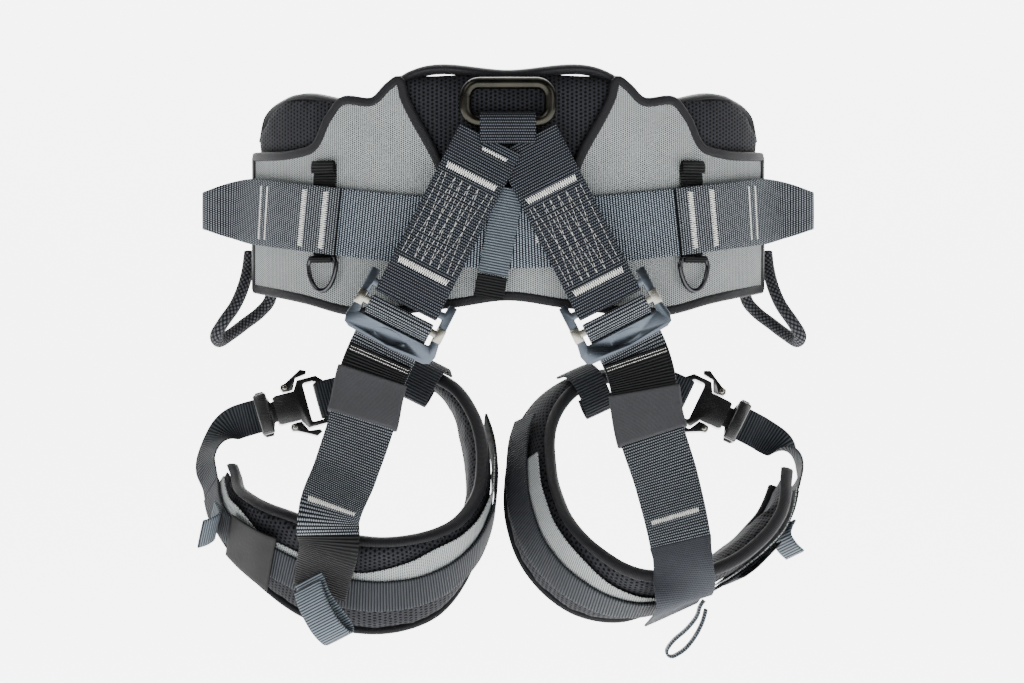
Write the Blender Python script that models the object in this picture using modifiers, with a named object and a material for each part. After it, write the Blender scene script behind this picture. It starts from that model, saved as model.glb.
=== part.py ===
"""Tree climbing saddle: a padded waist belt that carries two leg loops from a rear ring.

World frame: +X to the right of the back panel, +Y from the back panel towards the wearer's
front, +Z up.  The origin is the centre of the top bar of the rear ring, where the saddle hangs.
"""
import math

import bmesh
import bpy
import numpy as np
from mathutils import Matrix, Vector

MM = 0.001
CLEAR = 0.4 * MM            # gap between layers that lie on each other

# Driving sizes -------------------------------------------------------------------------------
WAIST_HALF_WIDTH = 178 * MM     # half the width of the waist curve, side to side
WAIST_DEPTH = 118 * MM          # depth of the back half of the waist curve
PAD_FACE_Y = 8 * MM             # outer face of the waist pad on the centre line
PAD_REACH = 173 * MM            # how far the pad reaches to each side
PAD_THICKNESS = 15 * MM
PAD_CENTRE_TOP = 9.5 * MM
PAD_CENTRE_HALF = 72 * MM       # half width of the raised middle of the pad
PAD_WING_TOP = -7 * MM
PAD_BOTTOM = -146 * MM
PAD_BOTTOM_LIFT = 10 * MM       # how far the lower edge rises at the ends
SHEET_THICKNESS = 1.5 * MM      # stiffener and outer fabric shell
SHELL_WING_TOP = -43 * MM
SHELL_NOTCH_BOTTOM = -76 * MM
SHELL_NOTCH_HALF = 46 * MM
STIFFENER_MARGIN = 9 * MM

BELT_WIDTH = 45 * MM
WEB_THICKNESS = 1.8 * MM
THIN_WEB = 1.2 * MM
BELT_HEIGHT = -100 * MM         # centre line of the belt on the centre line of the pad
BELT_RISE = 16 * MM             # how far that line rises at the ends of the pad
BELT_END = 168 * MM
FRONT_BELT_Y = 226 * MM

SIDE_LOOP_START = 109 * MM
SIDE_LOOP_TIP = 36 * MM         # how far the eye stands out past the end of the pad
GEAR_STRAP_X = 120 * MM
GEAR_STRAP_WIDTH = 18 * MM
GEAR_STRAP_TOP = -50 * MM
D_RING_WIRE = 3.4 * MM
D_RING_WIDTH = 26 * MM
D_RING_DROP = 22 * MM
GEAR_CORD = 8.4 * MM

RING_BAR = 8 * MM
RING_WIDTH = 64 * MM
RING_HEIGHT = 33 * MM
RING_CORNER = 9 * MM
RING_WEB_WIDTH = 37 * MM
CENTRE_TAB_WIDTH = 20 * MM

STRAP_SPLAY = math.radians(27)
STRAP_STEP = 2.2 * MM           # between the rear strap's cross-sections
STRAP_LENGTH = 132 * MM         # from below the ring to the adjuster's centre
STRAP_TOP = Vector((11.5 * MM, 0, -37 * MM))

ADJUSTER_HALF = 31.5 * MM
ADJUSTER_ARM = 6 * MM
ADJUSTER_PLATE = 4 * MM
ADJUSTER_Y = -1 * MM
ADJUSTER_TOP = -22 * MM         # along the strap, from the adjuster's centre
ADJUSTER_BOTTOM = 20.5 * MM
TOP_BAR = (-16 * MM, -11 * MM)
PLATE_TOP = 8.2 * MM
WRAP_CLEAR = 0.8 * MM          # room for webbing that folds round a bar
SLIDE_BAR_AT = -0.7 * MM
SLIDE_BAR_HALF = (2.4 * MM, 1.5 * MM)
HINGE_AT = 24.5 * MM            # where the riser bends below the adjuster
HINGE_GAP = 2.2 * MM

RISER_OUT = -(ADJUSTER_PLATE / 2 + WRAP_CLEAR + WEB_THICKNESS + 0.5 * MM)

LEG_PAD_THICKNESS = 14 * MM
LEG_BAND = 25 * MM
LEG_FRONT_WEB = 22 * MM
RISER_TOP_WIDTH = 45 * MM
RISER_END_WIDTH = 36 * MM
BUCKLE_THICKNESS = 9 * MM
LEVER_TRAVEL_GAP = 2.4 * MM
RIVET_HEAD = 2.2 * MM
LEVER_BOSS = 3.8 * MM           # from the mouth of the body to a lever's rivet
BOTH_LEVERS = ((1, "upper"), (-1, "lower"))
FRONT_LEVER = ((-1, "upper"),)

COLOURS = {
    "mesh": ((0.020, 0.021, 0.024), 0.9, 0.0),
    "twill": ((0.27, 0.29, 0.28), 0.85, 0.0),
    "plastic": ((0.02, 0.02, 0.02), 0.5, 0.0),
    "webbing": ((0.060, 0.070, 0.086), 0.8, 0.0),
    "black_webbing": ((0.018, 0.018, 0.020), 0.8, 0.0),
    "elastic": ((0.11, 0.11, 0.115), 0.85, 0.0),
    "leather": ((0.022, 0.021, 0.020), 0.6, 0.0),
    "cord": ((0.05, 0.052, 0.058), 0.85, 0.0),
    "bronze": ((0.22, 0.21, 0.18), 0.3, 1.0),
    "steel": ((0.42, 0.43, 0.44), 0.32, 1.0),
    "black_metal": ((0.03, 0.03, 0.032), 0.35, 0.6),
}


def clear_scene():
    for thing in list(bpy.data.objects):
        bpy.data.objects.remove(thing, do_unlink=True)


def new_collection(name):
    group = bpy.data.collections.new(name)
    bpy.context.scene.collection.children.link(group)
    return group


def material_for(name, finish):
    colour, roughness, metallic = COLOURS[finish]
    made = bpy.data.materials.new(name + "_finish")
    made.use_nodes = True
    shader = made.node_tree.nodes["Principled BSDF"]
    shader.inputs["Base Color"].default_value = (*colour, 1)
    shader.inputs["Roughness"].default_value = roughness
    shader.inputs["Metallic"].default_value = metallic
    return made


def place(name, data, finish, matrix=None, parent=None):
    """Add an object to the saddle with its own material, at a place and under a parent."""
    thing = bpy.data.objects.new(name, data)
    SADDLE.objects.link(thing)
    data.materials.append(material_for(name, finish))
    world = matrix if matrix is not None else Matrix.Identity(4)
    if parent is not None:
        thing.parent = parent
        world = Matrix.Translation(-parent.location) @ world
    thing.matrix_local = world
    return thing


def axis_empty(name, point):
    empty = bpy.data.objects.new(name, None)
    SADDLE.objects.link(empty)
    empty.location = point
    return empty


def smooth_path(keys, count, start=0.0, end=1.0):
    """Read count rows from a smooth curve through the rows of keys, which begin with x, y, z."""
    rows = np.array(keys, dtype=float)
    steps = np.linalg.norm(np.diff(rows[:, :3], axis=0), axis=1)
    along = np.concatenate([[0], np.cumsum(steps)])
    slopes = np.gradient(rows, along, axis=0)
    places = np.linspace(start, end, count) * along[-1]
    piece = np.clip(np.searchsorted(along, places, side="right") - 1, 0, len(along) - 2)
    span = (along[piece + 1] - along[piece])[:, None]
    t = ((places - along[piece])[:, None]) / span
    first = (2 * t**3 - 3 * t**2 + 1) * rows[piece] + (t**3 - 2 * t**2 + t) * span * slopes[piece]
    second = (3 * t**2 - 2 * t**3) * rows[piece + 1] + (t**3 - t**2) * span * slopes[piece + 1]
    return first + second


def unit(vectors):
    return vectors / np.linalg.norm(vectors, axis=1)[:, None]


def path_frames(points, normals):
    """Tangents, outward normals square to them, and the directions across the strap."""
    tangents = unit(np.gradient(points, axis=0))
    square = unit(normals - (normals * tangents).sum(axis=1)[:, None] * tangents)
    return tangents, square, np.cross(tangents, square)


def strip_mesh(name, rows):
    """An open strip of faces between rows of points."""
    mesh = bmesh.new()
    grid = [[mesh.verts.new(point) for point in row] for row in rows]
    for first, second in zip(grid, grid[1:]):
        for a, b, c, d in zip(first, first[1:], second[1:], second):
            mesh.faces.new((a, d, c, b))
    data = bpy.data.meshes.new(name)
    mesh.to_mesh(data)
    mesh.free()
    data.shade_smooth()
    return data


def give_wall(thing, thickness, offset=0.0):
    wall = thing.modifiers.new("wall", "SOLIDIFY")
    wall.thickness = thickness
    wall.offset = offset
    wall.use_even_offset = True
    return wall


def strap(name, keys, width, finish, thickness=WEB_THICKNESS, count=24, parent=None, end_width=None):
    """Flat webbing along keys of x, y, z and the outward direction, each in metres."""
    path = smooth_path(keys, count)
    points = path[:, :3]
    _, _, across = path_frames(points, path[:, 3:6])
    last_width = width if end_width is None else end_width
    half = np.linspace(width, last_width, count)[:, None] / 2
    rows = [(a, b) for a, b in zip(points - across * half, points + across * half)]
    thing = place(name, strip_mesh(name, rows), finish, parent=parent)
    give_wall(thing, thickness)
    return thing


def tube(name, keys, radius, finish, count, closed=False, sides=2, parent=None):
    curve = bpy.data.curves.new(name, "CURVE")
    curve.dimensions = "3D"
    curve.bevel_depth = radius
    curve.bevel_resolution = sides
    curve.use_fill_caps = not closed
    spline = curve.splines.new("POLY")
    points = np.array(keys) if closed else smooth_path(keys, count)
    spline.points.add(len(points) - 1)
    for target, point in zip(spline.points, points):
        target.co = (*point[:3], 1)
    spline.use_cyclic_u = closed
    return place(name, curve, finish, parent=parent)


def plate(name, outlines, thickness, matrix, finish, parent=None, bevel=0.0):
    """A flat plate: the first outline is its edge, and the others are holes in it."""
    curve = bpy.data.curves.new(name, "CURVE")
    curve.dimensions = "2D"
    curve.fill_mode = "BOTH"
    curve.extrude = thickness / 2
    for outline in outlines:
        spline = curve.splines.new("POLY")
        spline.points.add(len(outline) - 1)
        for target, (x, y) in zip(spline.points, outline):
            target.co = (x, y, 0, 1)
        spline.use_cyclic_u = True
    thing = place(name, curve, finish, matrix, parent)
    weld = thing.modifiers.new("weld", "WELD")
    weld.merge_threshold = 0.00001
    if bevel:
        edge = thing.modifiers.new("edge", "BEVEL")
        edge.width = bevel
        edge.segments = 2
        edge.limit_method = "ANGLE"
        edge.angle_limit = math.radians(50)
    return thing


def round_rect(left, right, bottom, top, radius, steps=4):
    """Points round a rectangle with round corners."""
    points = []
    corners = ((right, top, 0), (left, top, 1), (left, bottom, 2), (right, bottom, 3))
    for x, y, quarter in corners:
        centre_x = x - math.copysign(radius, x - (left + right) / 2)
        centre_y = y - math.copysign(radius, y - (bottom + top) / 2)
        for step in range(steps + 1):
            angle = (quarter + step / steps) * math.pi / 2
            points.append((centre_x + radius * math.cos(angle), centre_y + radius * math.sin(angle)))
    return points


def mesh_from(thing):
    """Turn an object into a plain mesh object with its modifiers applied."""
    graph = bpy.context.evaluated_depsgraph_get()
    graph.update()
    data = bpy.data.meshes.new_from_object(thing.evaluated_get(graph))
    mesh = bmesh.new()
    mesh.from_mesh(data)
    bmesh.ops.remove_doubles(mesh, verts=mesh.verts, dist=0.00001)
    mesh.to_mesh(data)
    mesh.free()
    name = thing.name
    matrix, parent = thing.matrix_local.copy(), thing.parent
    bpy.data.objects.remove(thing, do_unlink=True)
    made = bpy.data.objects.new(name, data)
    SADDLE.objects.link(made)
    made.parent = parent
    made.matrix_local = matrix
    return made


def cut(thing, cutter, operation="DIFFERENCE"):
    """Cut a mesh object with a mesh cutter, which is kept out of the saddle."""
    for group in list(cutter.users_collection):
        group.objects.unlink(cutter)
    CUTTERS.objects.link(cutter)
    cutter.hide_render = True
    cutter.display_type = "WIRE"
    bite = thing.modifiers.new(cutter.name, "BOOLEAN")
    bite.operation = operation
    bite.solver = "EXACT"
    bite.object = cutter


def box_cutter(name, low, high, matrix):
    data = bpy.data.meshes.new(name)
    mesh = bmesh.new()
    bmesh.ops.create_cube(mesh, size=1)
    centre = [(a + b) / 2 for a, b in zip(low, high)]
    for vertex in mesh.verts:
        vertex.co = [c + (b - a) * v for c, a, b, v in zip(centre, low, high, vertex.co)]
    mesh.to_mesh(data)
    mesh.free()
    cutter = bpy.data.objects.new(name, data)
    cutter.matrix_world = matrix
    return cutter


# The waist -----------------------------------------------------------------------------------
def wall_point(x, depth, height):
    """A point of the curved back at side distance x, standing depth proud of its outer face."""
    angle = math.asin(max(-1, min(1, x / WAIST_HALF_WIDTH)))
    normal = Vector((WAIST_DEPTH * math.sin(angle), -WAIST_HALF_WIDTH * math.cos(angle), 0)).normalized()
    base = Vector((x, PAD_FACE_Y + WAIST_DEPTH * (1 - math.cos(angle)), height))
    return base + normal * depth, normal


def wall_key(x, depth, height):
    point, normal = wall_point(x, depth, height)
    return (*point, *normal)


def belt_height(x):
    return BELT_HEIGHT + BELT_RISE * (abs(x) / (0.89 * PAD_REACH)) ** 1.6


STRAP_SAG = 0.6 * MM             # room for a flat strap on the curved back
SHELL_DEPTH = CLEAR * 2.5 + SHEET_THICKNESS * 1.5
GEAR_STRAP_DEPTH = SHELL_DEPTH + SHEET_THICKNESS / 2 + CLEAR + THIN_WEB / 2 + STRAP_SAG
BELT_DEPTH = GEAR_STRAP_DEPTH + THIN_WEB / 2 + CLEAR + WEB_THICKNESS / 2
SIDE_LOOP_DEPTH = BELT_DEPTH + WEB_THICKNESS + CLEAR


def height_at(outline, x):
    """Read an outline of (side distance, height) points at a side distance."""
    return float(np.interp(abs(x), [p[0] for p in outline], [p[1] for p in outline]))


def pad_top():
    half = PAD_CENTRE_HALF
    return [(0, PAD_CENTRE_TOP), (half - 4 * MM, PAD_CENTRE_TOP - 1 * MM), (half + 4 * MM,
            PAD_CENTRE_TOP - 6 * MM),
            (half + 16 * MM, PAD_WING_TOP), (PAD_REACH - 22 * MM, PAD_WING_TOP + 2 * MM),
            (PAD_REACH - 8 * MM, PAD_WING_TOP - 6 * MM), (PAD_REACH, PAD_WING_TOP - 24 * MM)]


def pad_bottom():
    return [(0, PAD_BOTTOM + 4 * MM), (38 * MM, PAD_BOTTOM - 1 * MM), (108 * MM, PAD_BOTTOM - 5 * MM),
            (PAD_REACH - 40 * MM, PAD_BOTTOM + 2 * MM), (PAD_REACH, PAD_BOTTOM + PAD_BOTTOM_LIFT)]


def shell_top():
    half = PAD_CENTRE_HALF
    return [(0, SHELL_NOTCH_BOTTOM), (SHELL_NOTCH_HALF - 10 * MM, SHELL_NOTCH_BOTTOM),
            (SHELL_NOTCH_HALF, SHELL_NOTCH_BOTTOM + 26 * MM), (half - 4 * MM, PAD_WING_TOP),
            (half, PAD_CENTRE_TOP - 5 * MM), (half + 6 * MM, PAD_CENTRE_TOP - 9 * MM),
            (half + 16 * MM, PAD_WING_TOP - 2 * MM), (half + 38 * MM, PAD_WING_TOP - 2 * MM),
            (half + 46 * MM, PAD_WING_TOP - 12 * MM), (half + 58 * MM, SHELL_WING_TOP + 3 * MM),
            (half + 70 * MM, SHELL_WING_TOP), (PAD_REACH, SHELL_WING_TOP)]


def curved_sheet(name, top, bottom, depth, thickness, finish, reach, margin=0.0, columns=32, rows=2):
    """A sheet that follows the back between two outlines, its outer face at depth."""
    grid = []
    for x in np.linspace(-reach, reach, columns + 1):
        high = height_at(top, x) - margin
        low = height_at(bottom, x) + margin
        heights = np.linspace(low, high, rows + 1)
        grid.append([wall_point(x, depth, z)[0] for z in heights])
    thing = place(name, strip_mesh(name, grid), finish)
    give_wall(thing, thickness)
    return thing


def build_waist():
    pad = curved_sheet("waist_pad", pad_top(), pad_bottom(), -PAD_THICKNESS / 2 - 0.2 * MM,
                       PAD_THICKNESS, "mesh", PAD_REACH)
    soft = pad.modifiers.new("edge", "BEVEL")
    soft.width = 4 * MM
    soft.segments = 2
    soft.limit_method = "ANGLE"
    soft.angle_limit = math.radians(50)
    curved_sheet("waist_stiffener", shell_top(), pad_bottom(), CLEAR + SHEET_THICKNESS / 2,
                 SHEET_THICKNESS, "plastic", PAD_REACH - STIFFENER_MARGIN, STIFFENER_MARGIN, 24)
    curved_sheet("waist_shell", shell_top(), pad_bottom(), SHELL_DEPTH,
                 SHEET_THICKNESS, "twill", PAD_REACH - 1 * MM, 1 * MM)
    keys = [wall_key(x, BELT_DEPTH, belt_height(x)) for x in np.linspace(-BELT_END, BELT_END, 25)]
    strap("waist_belt", keys, BELT_WIDTH, "webbing", count=45)


def build_side_loops():
    for side, word in ((-1, "left"), (1, "right")):
        start = SIDE_LOOP_START
        keys = [wall_key(side * x, SIDE_LOOP_DEPTH, belt_height(x))
                for x in np.linspace(start, BELT_END - 8 * MM, 6)]
        edge, _ = wall_point(side * PAD_REACH, 0, belt_height(PAD_REACH))
        tip = SIDE_LOOP_TIP
        outer = [(0.44, -7, -0.45, -0.9), (0.8, -3, -0.5, -0.85), (0.98, 0.5, -0.8, -0.5), (1.03, 4, -1,
                0.05),
                 (0.96, 7.5, -0.6, 0.8), (0.78, 8, 0.1, 1), (0.5, 6, 0.2, 1)]
        for share, y, nx, ny in outer:
            keys.append((edge.x + side * share * tip, edge.y + y * MM, edge.z, -side * nx, ny, 0))
        count = 34
        path = smooth_path(keys, count)
        points = path[:, :3]
        _, _, across = path_frames(points, path[:, 3:6])
        past = np.clip((np.abs(points[:, 0]) - PAD_REACH) / tip, 0, 1)
        half = (BELT_WIDTH / 2 * (1 - 0.42 * past**1.4))[:, None]
        rows = [(a, b) for a, b in zip(points - across * half, points + across * half)]
        loop = place("side_loop_" + word, strip_mesh("side_loop_" + word, rows), "webbing")
        give_wall(loop, WEB_THICKNESS)


def build_gear_straps():
    for side, word in ((-1, "left"), (1, "right")):
        x = side * GEAR_STRAP_X
        bar = D_RING_WIRE / 2 + CLEAR + THIN_WEB / 2
        bar_height = belt_height(x) - BELT_WIDTH / 2 - 3 * MM
        bar_depth = GEAR_STRAP_DEPTH + bar
        profile = [(GEAR_STRAP_DEPTH + 2.6 * MM, GEAR_STRAP_TOP - 8 * MM), (GEAR_STRAP_DEPTH + 2.6 * MM,
                GEAR_STRAP_TOP - 2 * MM),
                   (GEAR_STRAP_DEPTH + 1.5 * MM, GEAR_STRAP_TOP), (GEAR_STRAP_DEPTH, GEAR_STRAP_TOP - 2 * MM),
                   (GEAR_STRAP_DEPTH, GEAR_STRAP_TOP - 15 * MM), (GEAR_STRAP_DEPTH, bar_height + 8 * MM)]
        profile += [(bar_depth - bar * math.cos(a), bar_height - bar * math.sin(a))
                    for a in np.linspace(0, math.pi, 7)]
        keys = []
        for depth, height in profile:
            point, normal = wall_point(x, depth, height)
            keys.append((*point, *normal))
        count = 40
        path = smooth_path(keys, count)
        _, normal = wall_point(x, 0, 0)
        across = np.array(normal.cross(Vector((0, 0, 1)))) * GEAR_STRAP_WIDTH / 2
        rows = [(p - across, p + across) for p in path[:, :3]]
        piece = place("gear_strap_" + word, strip_mesh("gear_strap_" + word, rows), "black_webbing")
        give_wall(piece, THIN_WEB)
        centre, normal = wall_point(x, bar_depth, bar_height)
        build_d_ring("d_ring_" + word, centre, normal)


def build_d_ring(name, centre, normal):
    """A steel D: a straight bar through the strap's fold and a round bow below it."""
    across = normal.cross(Vector((0, 0, 1)))
    lean = (Vector((0, 0, -1)) + normal * 0.03).normalized()
    half = D_RING_WIDTH / 2 - D_RING_WIRE / 2
    corner = 2 * MM
    points = [(-half + corner, 0), (half - corner, 0), (half, corner)]
    for angle in np.linspace(0, math.pi, 11):
        points.append((half * math.cos(angle), corner + (D_RING_DROP - corner) * math.sin(angle)))
    points.append((-half, corner))
    flat = [points[0], points[1]] + points[3:-1]
    keys = [across * a + lean * b for a, b in flat]
    ring = tube(name, [tuple(k) for k in keys], D_RING_WIRE / 2, "steel", 0, closed=True)
    ring.location = centre


def build_gear_cords():
    edge, _ = wall_point(PAD_REACH, 0, 0)
    route = [(5, 9, -109), (6, 6, -119), (8, 0, -130), (14, -8, -146), (22, -12, -158), (27, -8, -166),
             (26, 2, -170.5), (19, 13, -166), (9, 22, -158), (-1, 26, -150), (-7, 26, -143), (-9, 25, -137)]
    for side, word in ((-1, "left"), (1, "right")):
        keys = [(side * (edge.x + x * MM), edge.y + y * MM, z * MM) for x, y, z in route]
        tube("gear_loop_" + word, keys, GEAR_CORD / 2, "cord", 22)


def build_rear_ring():
    half_w = RING_WIDTH / 2 - RING_BAR / 2
    half_h = RING_HEIGHT / 2 - RING_BAR / 2
    points = round_rect(-half_w, half_w, -2 * half_h, 0, RING_CORNER, steps=6)
    keys = [(x, 0, z) for x, z in points]
    tube("rear_ring", keys, RING_BAR / 2, "bronze", 0, closed=True, sides=3)


def ring_low_bar():
    return -(RING_HEIGHT - RING_BAR)


def build_ring_webbing():
    reach = RING_BAR / 2 + CLEAR + WEB_THICKNESS / 2
    low = ring_low_bar()
    keys = [(0, -reach - 0.6 * MM, low - 15 * MM, 0, -1, 0), (0, -reach - 0.2 * MM, low - 8 * MM, 0, -1, 0)]
    keys += [(0, -reach * math.cos(a), low + reach * math.sin(a), 0, -math.cos(a), math.sin(a))
             for a in np.linspace(0, math.pi, 9)]
    keys += [(0, reach - 1.2 * MM, low - 9 * MM, 0, 1, 0), (0, 2.6 * MM, low - 20 * MM, 0, 1, 0),
             (0, 2.6 * MM, low - 34 * MM, 0, 1, 0)]
    strap("ring_webbing", keys, RING_WEB_WIDTH, "webbing", count=30)


def adjuster_matrix(side):
    """Adjuster frame: X across the strap, Y up along it, Z out of the back, at its centre."""
    down = Vector((side * math.sin(STRAP_SPLAY), 0, -math.cos(STRAP_SPLAY)))
    top = Vector((side * STRAP_TOP.x, ADJUSTER_Y, STRAP_TOP.z))
    centre = top + down * STRAP_LENGTH
    out = Vector((0, -1, 0))
    up = -down
    across = up.cross(out)
    turn = Matrix((across, up, out)).transposed().to_4x4()
    return Matrix.Translation(centre) @ turn


def build_rear_straps():
    wrap = (TOP_BAR[1] - TOP_BAR[0]) / 2 + WRAP_CLEAR + WEB_THICKNESS / 2
    bar_at = (TOP_BAR[0] + TOP_BAR[1]) / 2
    reach = ADJUSTER_PLATE / 2 + WRAP_CLEAR + WEB_THICKNESS / 2
    for side, word in ((-1, "left"), (1, "right")):
        frame = adjuster_matrix(side)
        front = [(0, 2.6, 0.5), (8, 3.0, 0.6), (20, 4.7, 2.6), (34, 5.0, 4.8), (54, 4.8, 4.8), (85, 4.7, 4.7)]
        profile = []
        for down, left_y, right_y in front:
            out = (left_y if side < 0 else right_y) * MM
            profile.append((down * MM - STRAP_LENGTH, out + ADJUSTER_Y))
        profile.append((bar_at - 9 * MM, reach + 0.2 * MM))
        profile += wrap_round(bar_at, wrap, reach)
        profile += [(bar_at - 8 * MM, -reach), (bar_at - 20 * MM, -reach)]
        strap_in_frame("rear_strap_" + word, frame, profile, BELT_WIDTH, "webbing", round(STRAP_LENGTH / STRAP_STEP))


def wrap_round(centre, half_along, half_out, count=9, corner=0.6):
    """A half turn of (down, out) points round the lower side of a bar with soft corners."""
    points = []
    for angle in np.linspace(0, math.pi, count):
        along = math.sin(angle) ** corner
        out = math.copysign(abs(math.cos(angle)) ** corner, math.cos(angle))
        points.append((centre + half_along * along, half_out * out))
    return points


def strap_in_frame(name, frame, profile, width, finish, count, parent=None, thickness=WEB_THICKNESS):
    """Webbing whose side profile of (down, out) lies in a frame's Y-Z plane."""
    path = smooth_path([(0, -down, out) for down, out in profile], count)
    across = np.array((width / 2, 0, 0))
    rows = [(frame @ Vector(p - across), frame @ Vector(p + across)) for p in path[:, :3]]
    piece = place(name, strip_mesh(name, rows), finish, parent=parent)
    give_wall(piece, thickness)
    return piece


def build_centre_tab():
    y = PAD_FACE_Y - BELT_DEPTH - WEB_THICKNESS / 2 - CLEAR - THIN_WEB / 2
    keys = [(1 * MM, y - 0.1 * MM, -69 * MM, 0, -1, 0), (-2 * MM, y, -84 * MM, 0, -1, 0),
            (-6 * MM, y, -106 * MM, 0, -1, 0), (-10 * MM, y - 0.2 * MM, -126 * MM, 0, -1, 0),
            (-13 * MM, y - 0.2 * MM, -142 * MM, 0, -1, 0)]
    strap("centre_tab", keys, CENTRE_TAB_WIDTH, "webbing", THIN_WEB, count=12)


def build_adjusters():
    inner = ADJUSTER_HALF - ADJUSTER_ARM
    for side, word in ((-1, "left"), (1, "right")):
        frame = adjuster_matrix(side)
        edge = [(-ADJUSTER_HALF, -ADJUSTER_TOP), (-ADJUSTER_HALF, -5 * MM), (-ADJUSTER_HALF - 1.5 * MM,
                -13 * MM),
                (-ADJUSTER_HALF, -ADJUSTER_BOTTOM + 2 * MM), (-ADJUSTER_HALF + 4 * MM, -ADJUSTER_BOTTOM),
                (0, -ADJUSTER_BOTTOM - 1 * MM)]
        mirrored = [(-x, y) for x, y in reversed(edge[:-1])]
        notch = [(inner, -ADJUSTER_TOP), (inner, -TOP_BAR[0]), (-inner, -TOP_BAR[0]), (-inner, -ADJUSTER_TOP)]
        window = [(-inner, -TOP_BAR[1]), (inner, -TOP_BAR[1]), (inner, -PLATE_TOP), (-inner, -PLATE_TOP)]
        plate("adjuster_frame_" + word, [edge + mirrored + notch, window], ADJUSTER_PLATE, frame, "steel",
              bevel=0.7 * MM)
        lift = ADJUSTER_PLATE / 2 + CLEAR + SLIDE_BAR_HALF[1]
        centre = frame @ Matrix.Translation((0, -SLIDE_BAR_AT, lift))
        half = ADJUSTER_HALF + 0.5 * MM
        tall = SLIDE_BAR_HALF[0]
        tab = 5 * MM
        outline = [(-half, -tab), (-inner - 0.5 * MM, -tab), (-inner - 0.5 * MM, -tall)]
        outline += [(-x, y) for x, y in reversed(outline)]
        outline += [(x, -y) for x, y in reversed(outline)]
        plate("adjuster_bar_" + word, [outline], SLIDE_BAR_HALF[1] * 2, centre, "steel", bevel=0.5 * MM)
        build_riser_upper(word, frame)


def build_riser_upper(word, frame):
    wrap = SLIDE_BAR_HALF[0] + WRAP_CLEAR + WEB_THICKNESS / 2
    bar_out = ADJUSTER_PLATE / 2 + CLEAR + SLIDE_BAR_HALF[1]
    deep = SLIDE_BAR_HALF[1] + WRAP_CLEAR + WEB_THICKNESS / 2
    end = HINGE_AT - HINGE_GAP
    back = -(ADJUSTER_PLATE / 2 + WRAP_CLEAR + WEB_THICKNESS / 2)
    load = back - WEB_THICKNESS - 1.0 * MM
    gap = PLATE_TOP - WRAP_CLEAR - WEB_THICKNESS / 2
    profile = [(end, load), (gap + 5 * MM, load), (gap + 0.6 * MM, load + 0.9 * MM), (gap - 2.6 * MM, back),
               (gap - 4.6 * MM, back + 2.8 * MM)]
    profile += [(SLIDE_BAR_AT - (down - SLIDE_BAR_AT), bar_out - out)
                for down, out in wrap_round(SLIDE_BAR_AT, wrap, deep)]
    profile += [(gap - 2 * MM, bar_out), (gap, 0.6 * MM), (gap + 0.2 * MM, -2.2 * MM), (gap + 2.6 * MM, back),
                (gap + 8 * MM, back), (end, back)]
    strap_in_frame("riser_upper_" + word, frame, profile, RISER_TOP_WIDTH, "webbing", 60)


# The front closure ---------------------------------------------------------------------------
def build_front_belts():
    edge, _ = wall_point(PAD_REACH, 0, belt_height(PAD_REACH))
    for side, word in ((-1, "left"), (1, "right")):
        end = 21 * MM if side < 0 else 42 * MM
        route = [(edge.x - 4 * MM, edge.y + 8 * MM, 1, 0.0), (edge.x - 4 * MM, edge.y + 30 * MM, 1, 0.1),
                 (edge.x - 22 * MM, edge.y + 68 * MM, 1, 0.6), (edge.x - 60 * MM, edge.y + 104 * MM, 0.7, 1),
                 (edge.x - 102 * MM, FRONT_BELT_Y - 6 * MM, 0.2, 1), (end, FRONT_BELT_Y, 0, 1)]
        keys = [(side * x, y, edge.z - 8 * MM * i / 5, side * nx, ny, 0) for i,
                (x, y, nx, ny) in enumerate(route)]
        strap("front_belt_" + word, keys, BELT_WIDTH, "webbing", count=24)


def buckle_frame(origin, along, out):
    """A frame with X from the tongue to the body, Z out of the wearer, at the buckle's mouth."""
    x = Vector(along).normalized()
    z = (Vector(out) - Vector(out).dot(x) * x).normalized()
    turn = Matrix((x, z.cross(x), z)).transposed().to_4x4()
    return Matrix.Translation(Vector(origin)) @ turn


def build_buckle(prefix, frame, web, size, levers, parent=None):
    """A quick-release buckle: body, tongue, and the levers that free the tongue."""
    half = web / 2 + 4 * MM
    thick = BUCKLE_THICKNESS
    long = size
    slot_end = long - END_BAR
    mouth = half - 6.5 * MM
    edge = [(-8 * MM, mouth - 1 * MM), (-6 * MM, mouth), (7 * MM, mouth), (11 * MM, half), (long - 4 * MM,
            half),
            (long, half - 4 * MM)]
    outline = edge + [(x, -y) for x, y in reversed(edge)]
    slot = round_rect(slot_end - 9 * MM, slot_end, -web / 2 - 1 * MM, web / 2 + 1 * MM, 1.5 * MM, steps=2)
    body = mesh_from(plate(prefix + "_body", [outline, slot], thick, frame, "black_metal", parent))
    tongue_half = mouth - 3 * MM
    blade = 2.4 * MM
    cutter = box_cutter(prefix + "_mouth", (-12 * MM, -tongue_half - CLEAR, -blade / 2 - CLEAR),
                        (9 * MM, tongue_half + CLEAR, blade / 2 + CLEAR), frame)
    cut(body, cutter)
    tail = -20 * MM
    blade_edge = [(8 * MM, tongue_half - 1 * MM), (7 * MM, tongue_half), (-10 * MM, tongue_half),
                  (-13 * MM, half - 1 * MM), (tail + 2 * MM, half - 1 * MM), (tail, half - 3 * MM)]
    blade_line = blade_edge + [(x, -y) for x, y in reversed(blade_edge)]
    gap = round_rect(tail + 3.2 * MM, tail + 6.6 * MM, -web / 2 - 0.6 * MM, web / 2 + 0.6 * MM, 0.8 * MM,
                     steps=2)
    plate(prefix + "_tongue", [blade_line, gap], blade, frame, "black_metal", parent)
    for sign, word in levers:
        build_lever(prefix + "_lever_" + word, frame, sign, half, mouth, long, parent)


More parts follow.
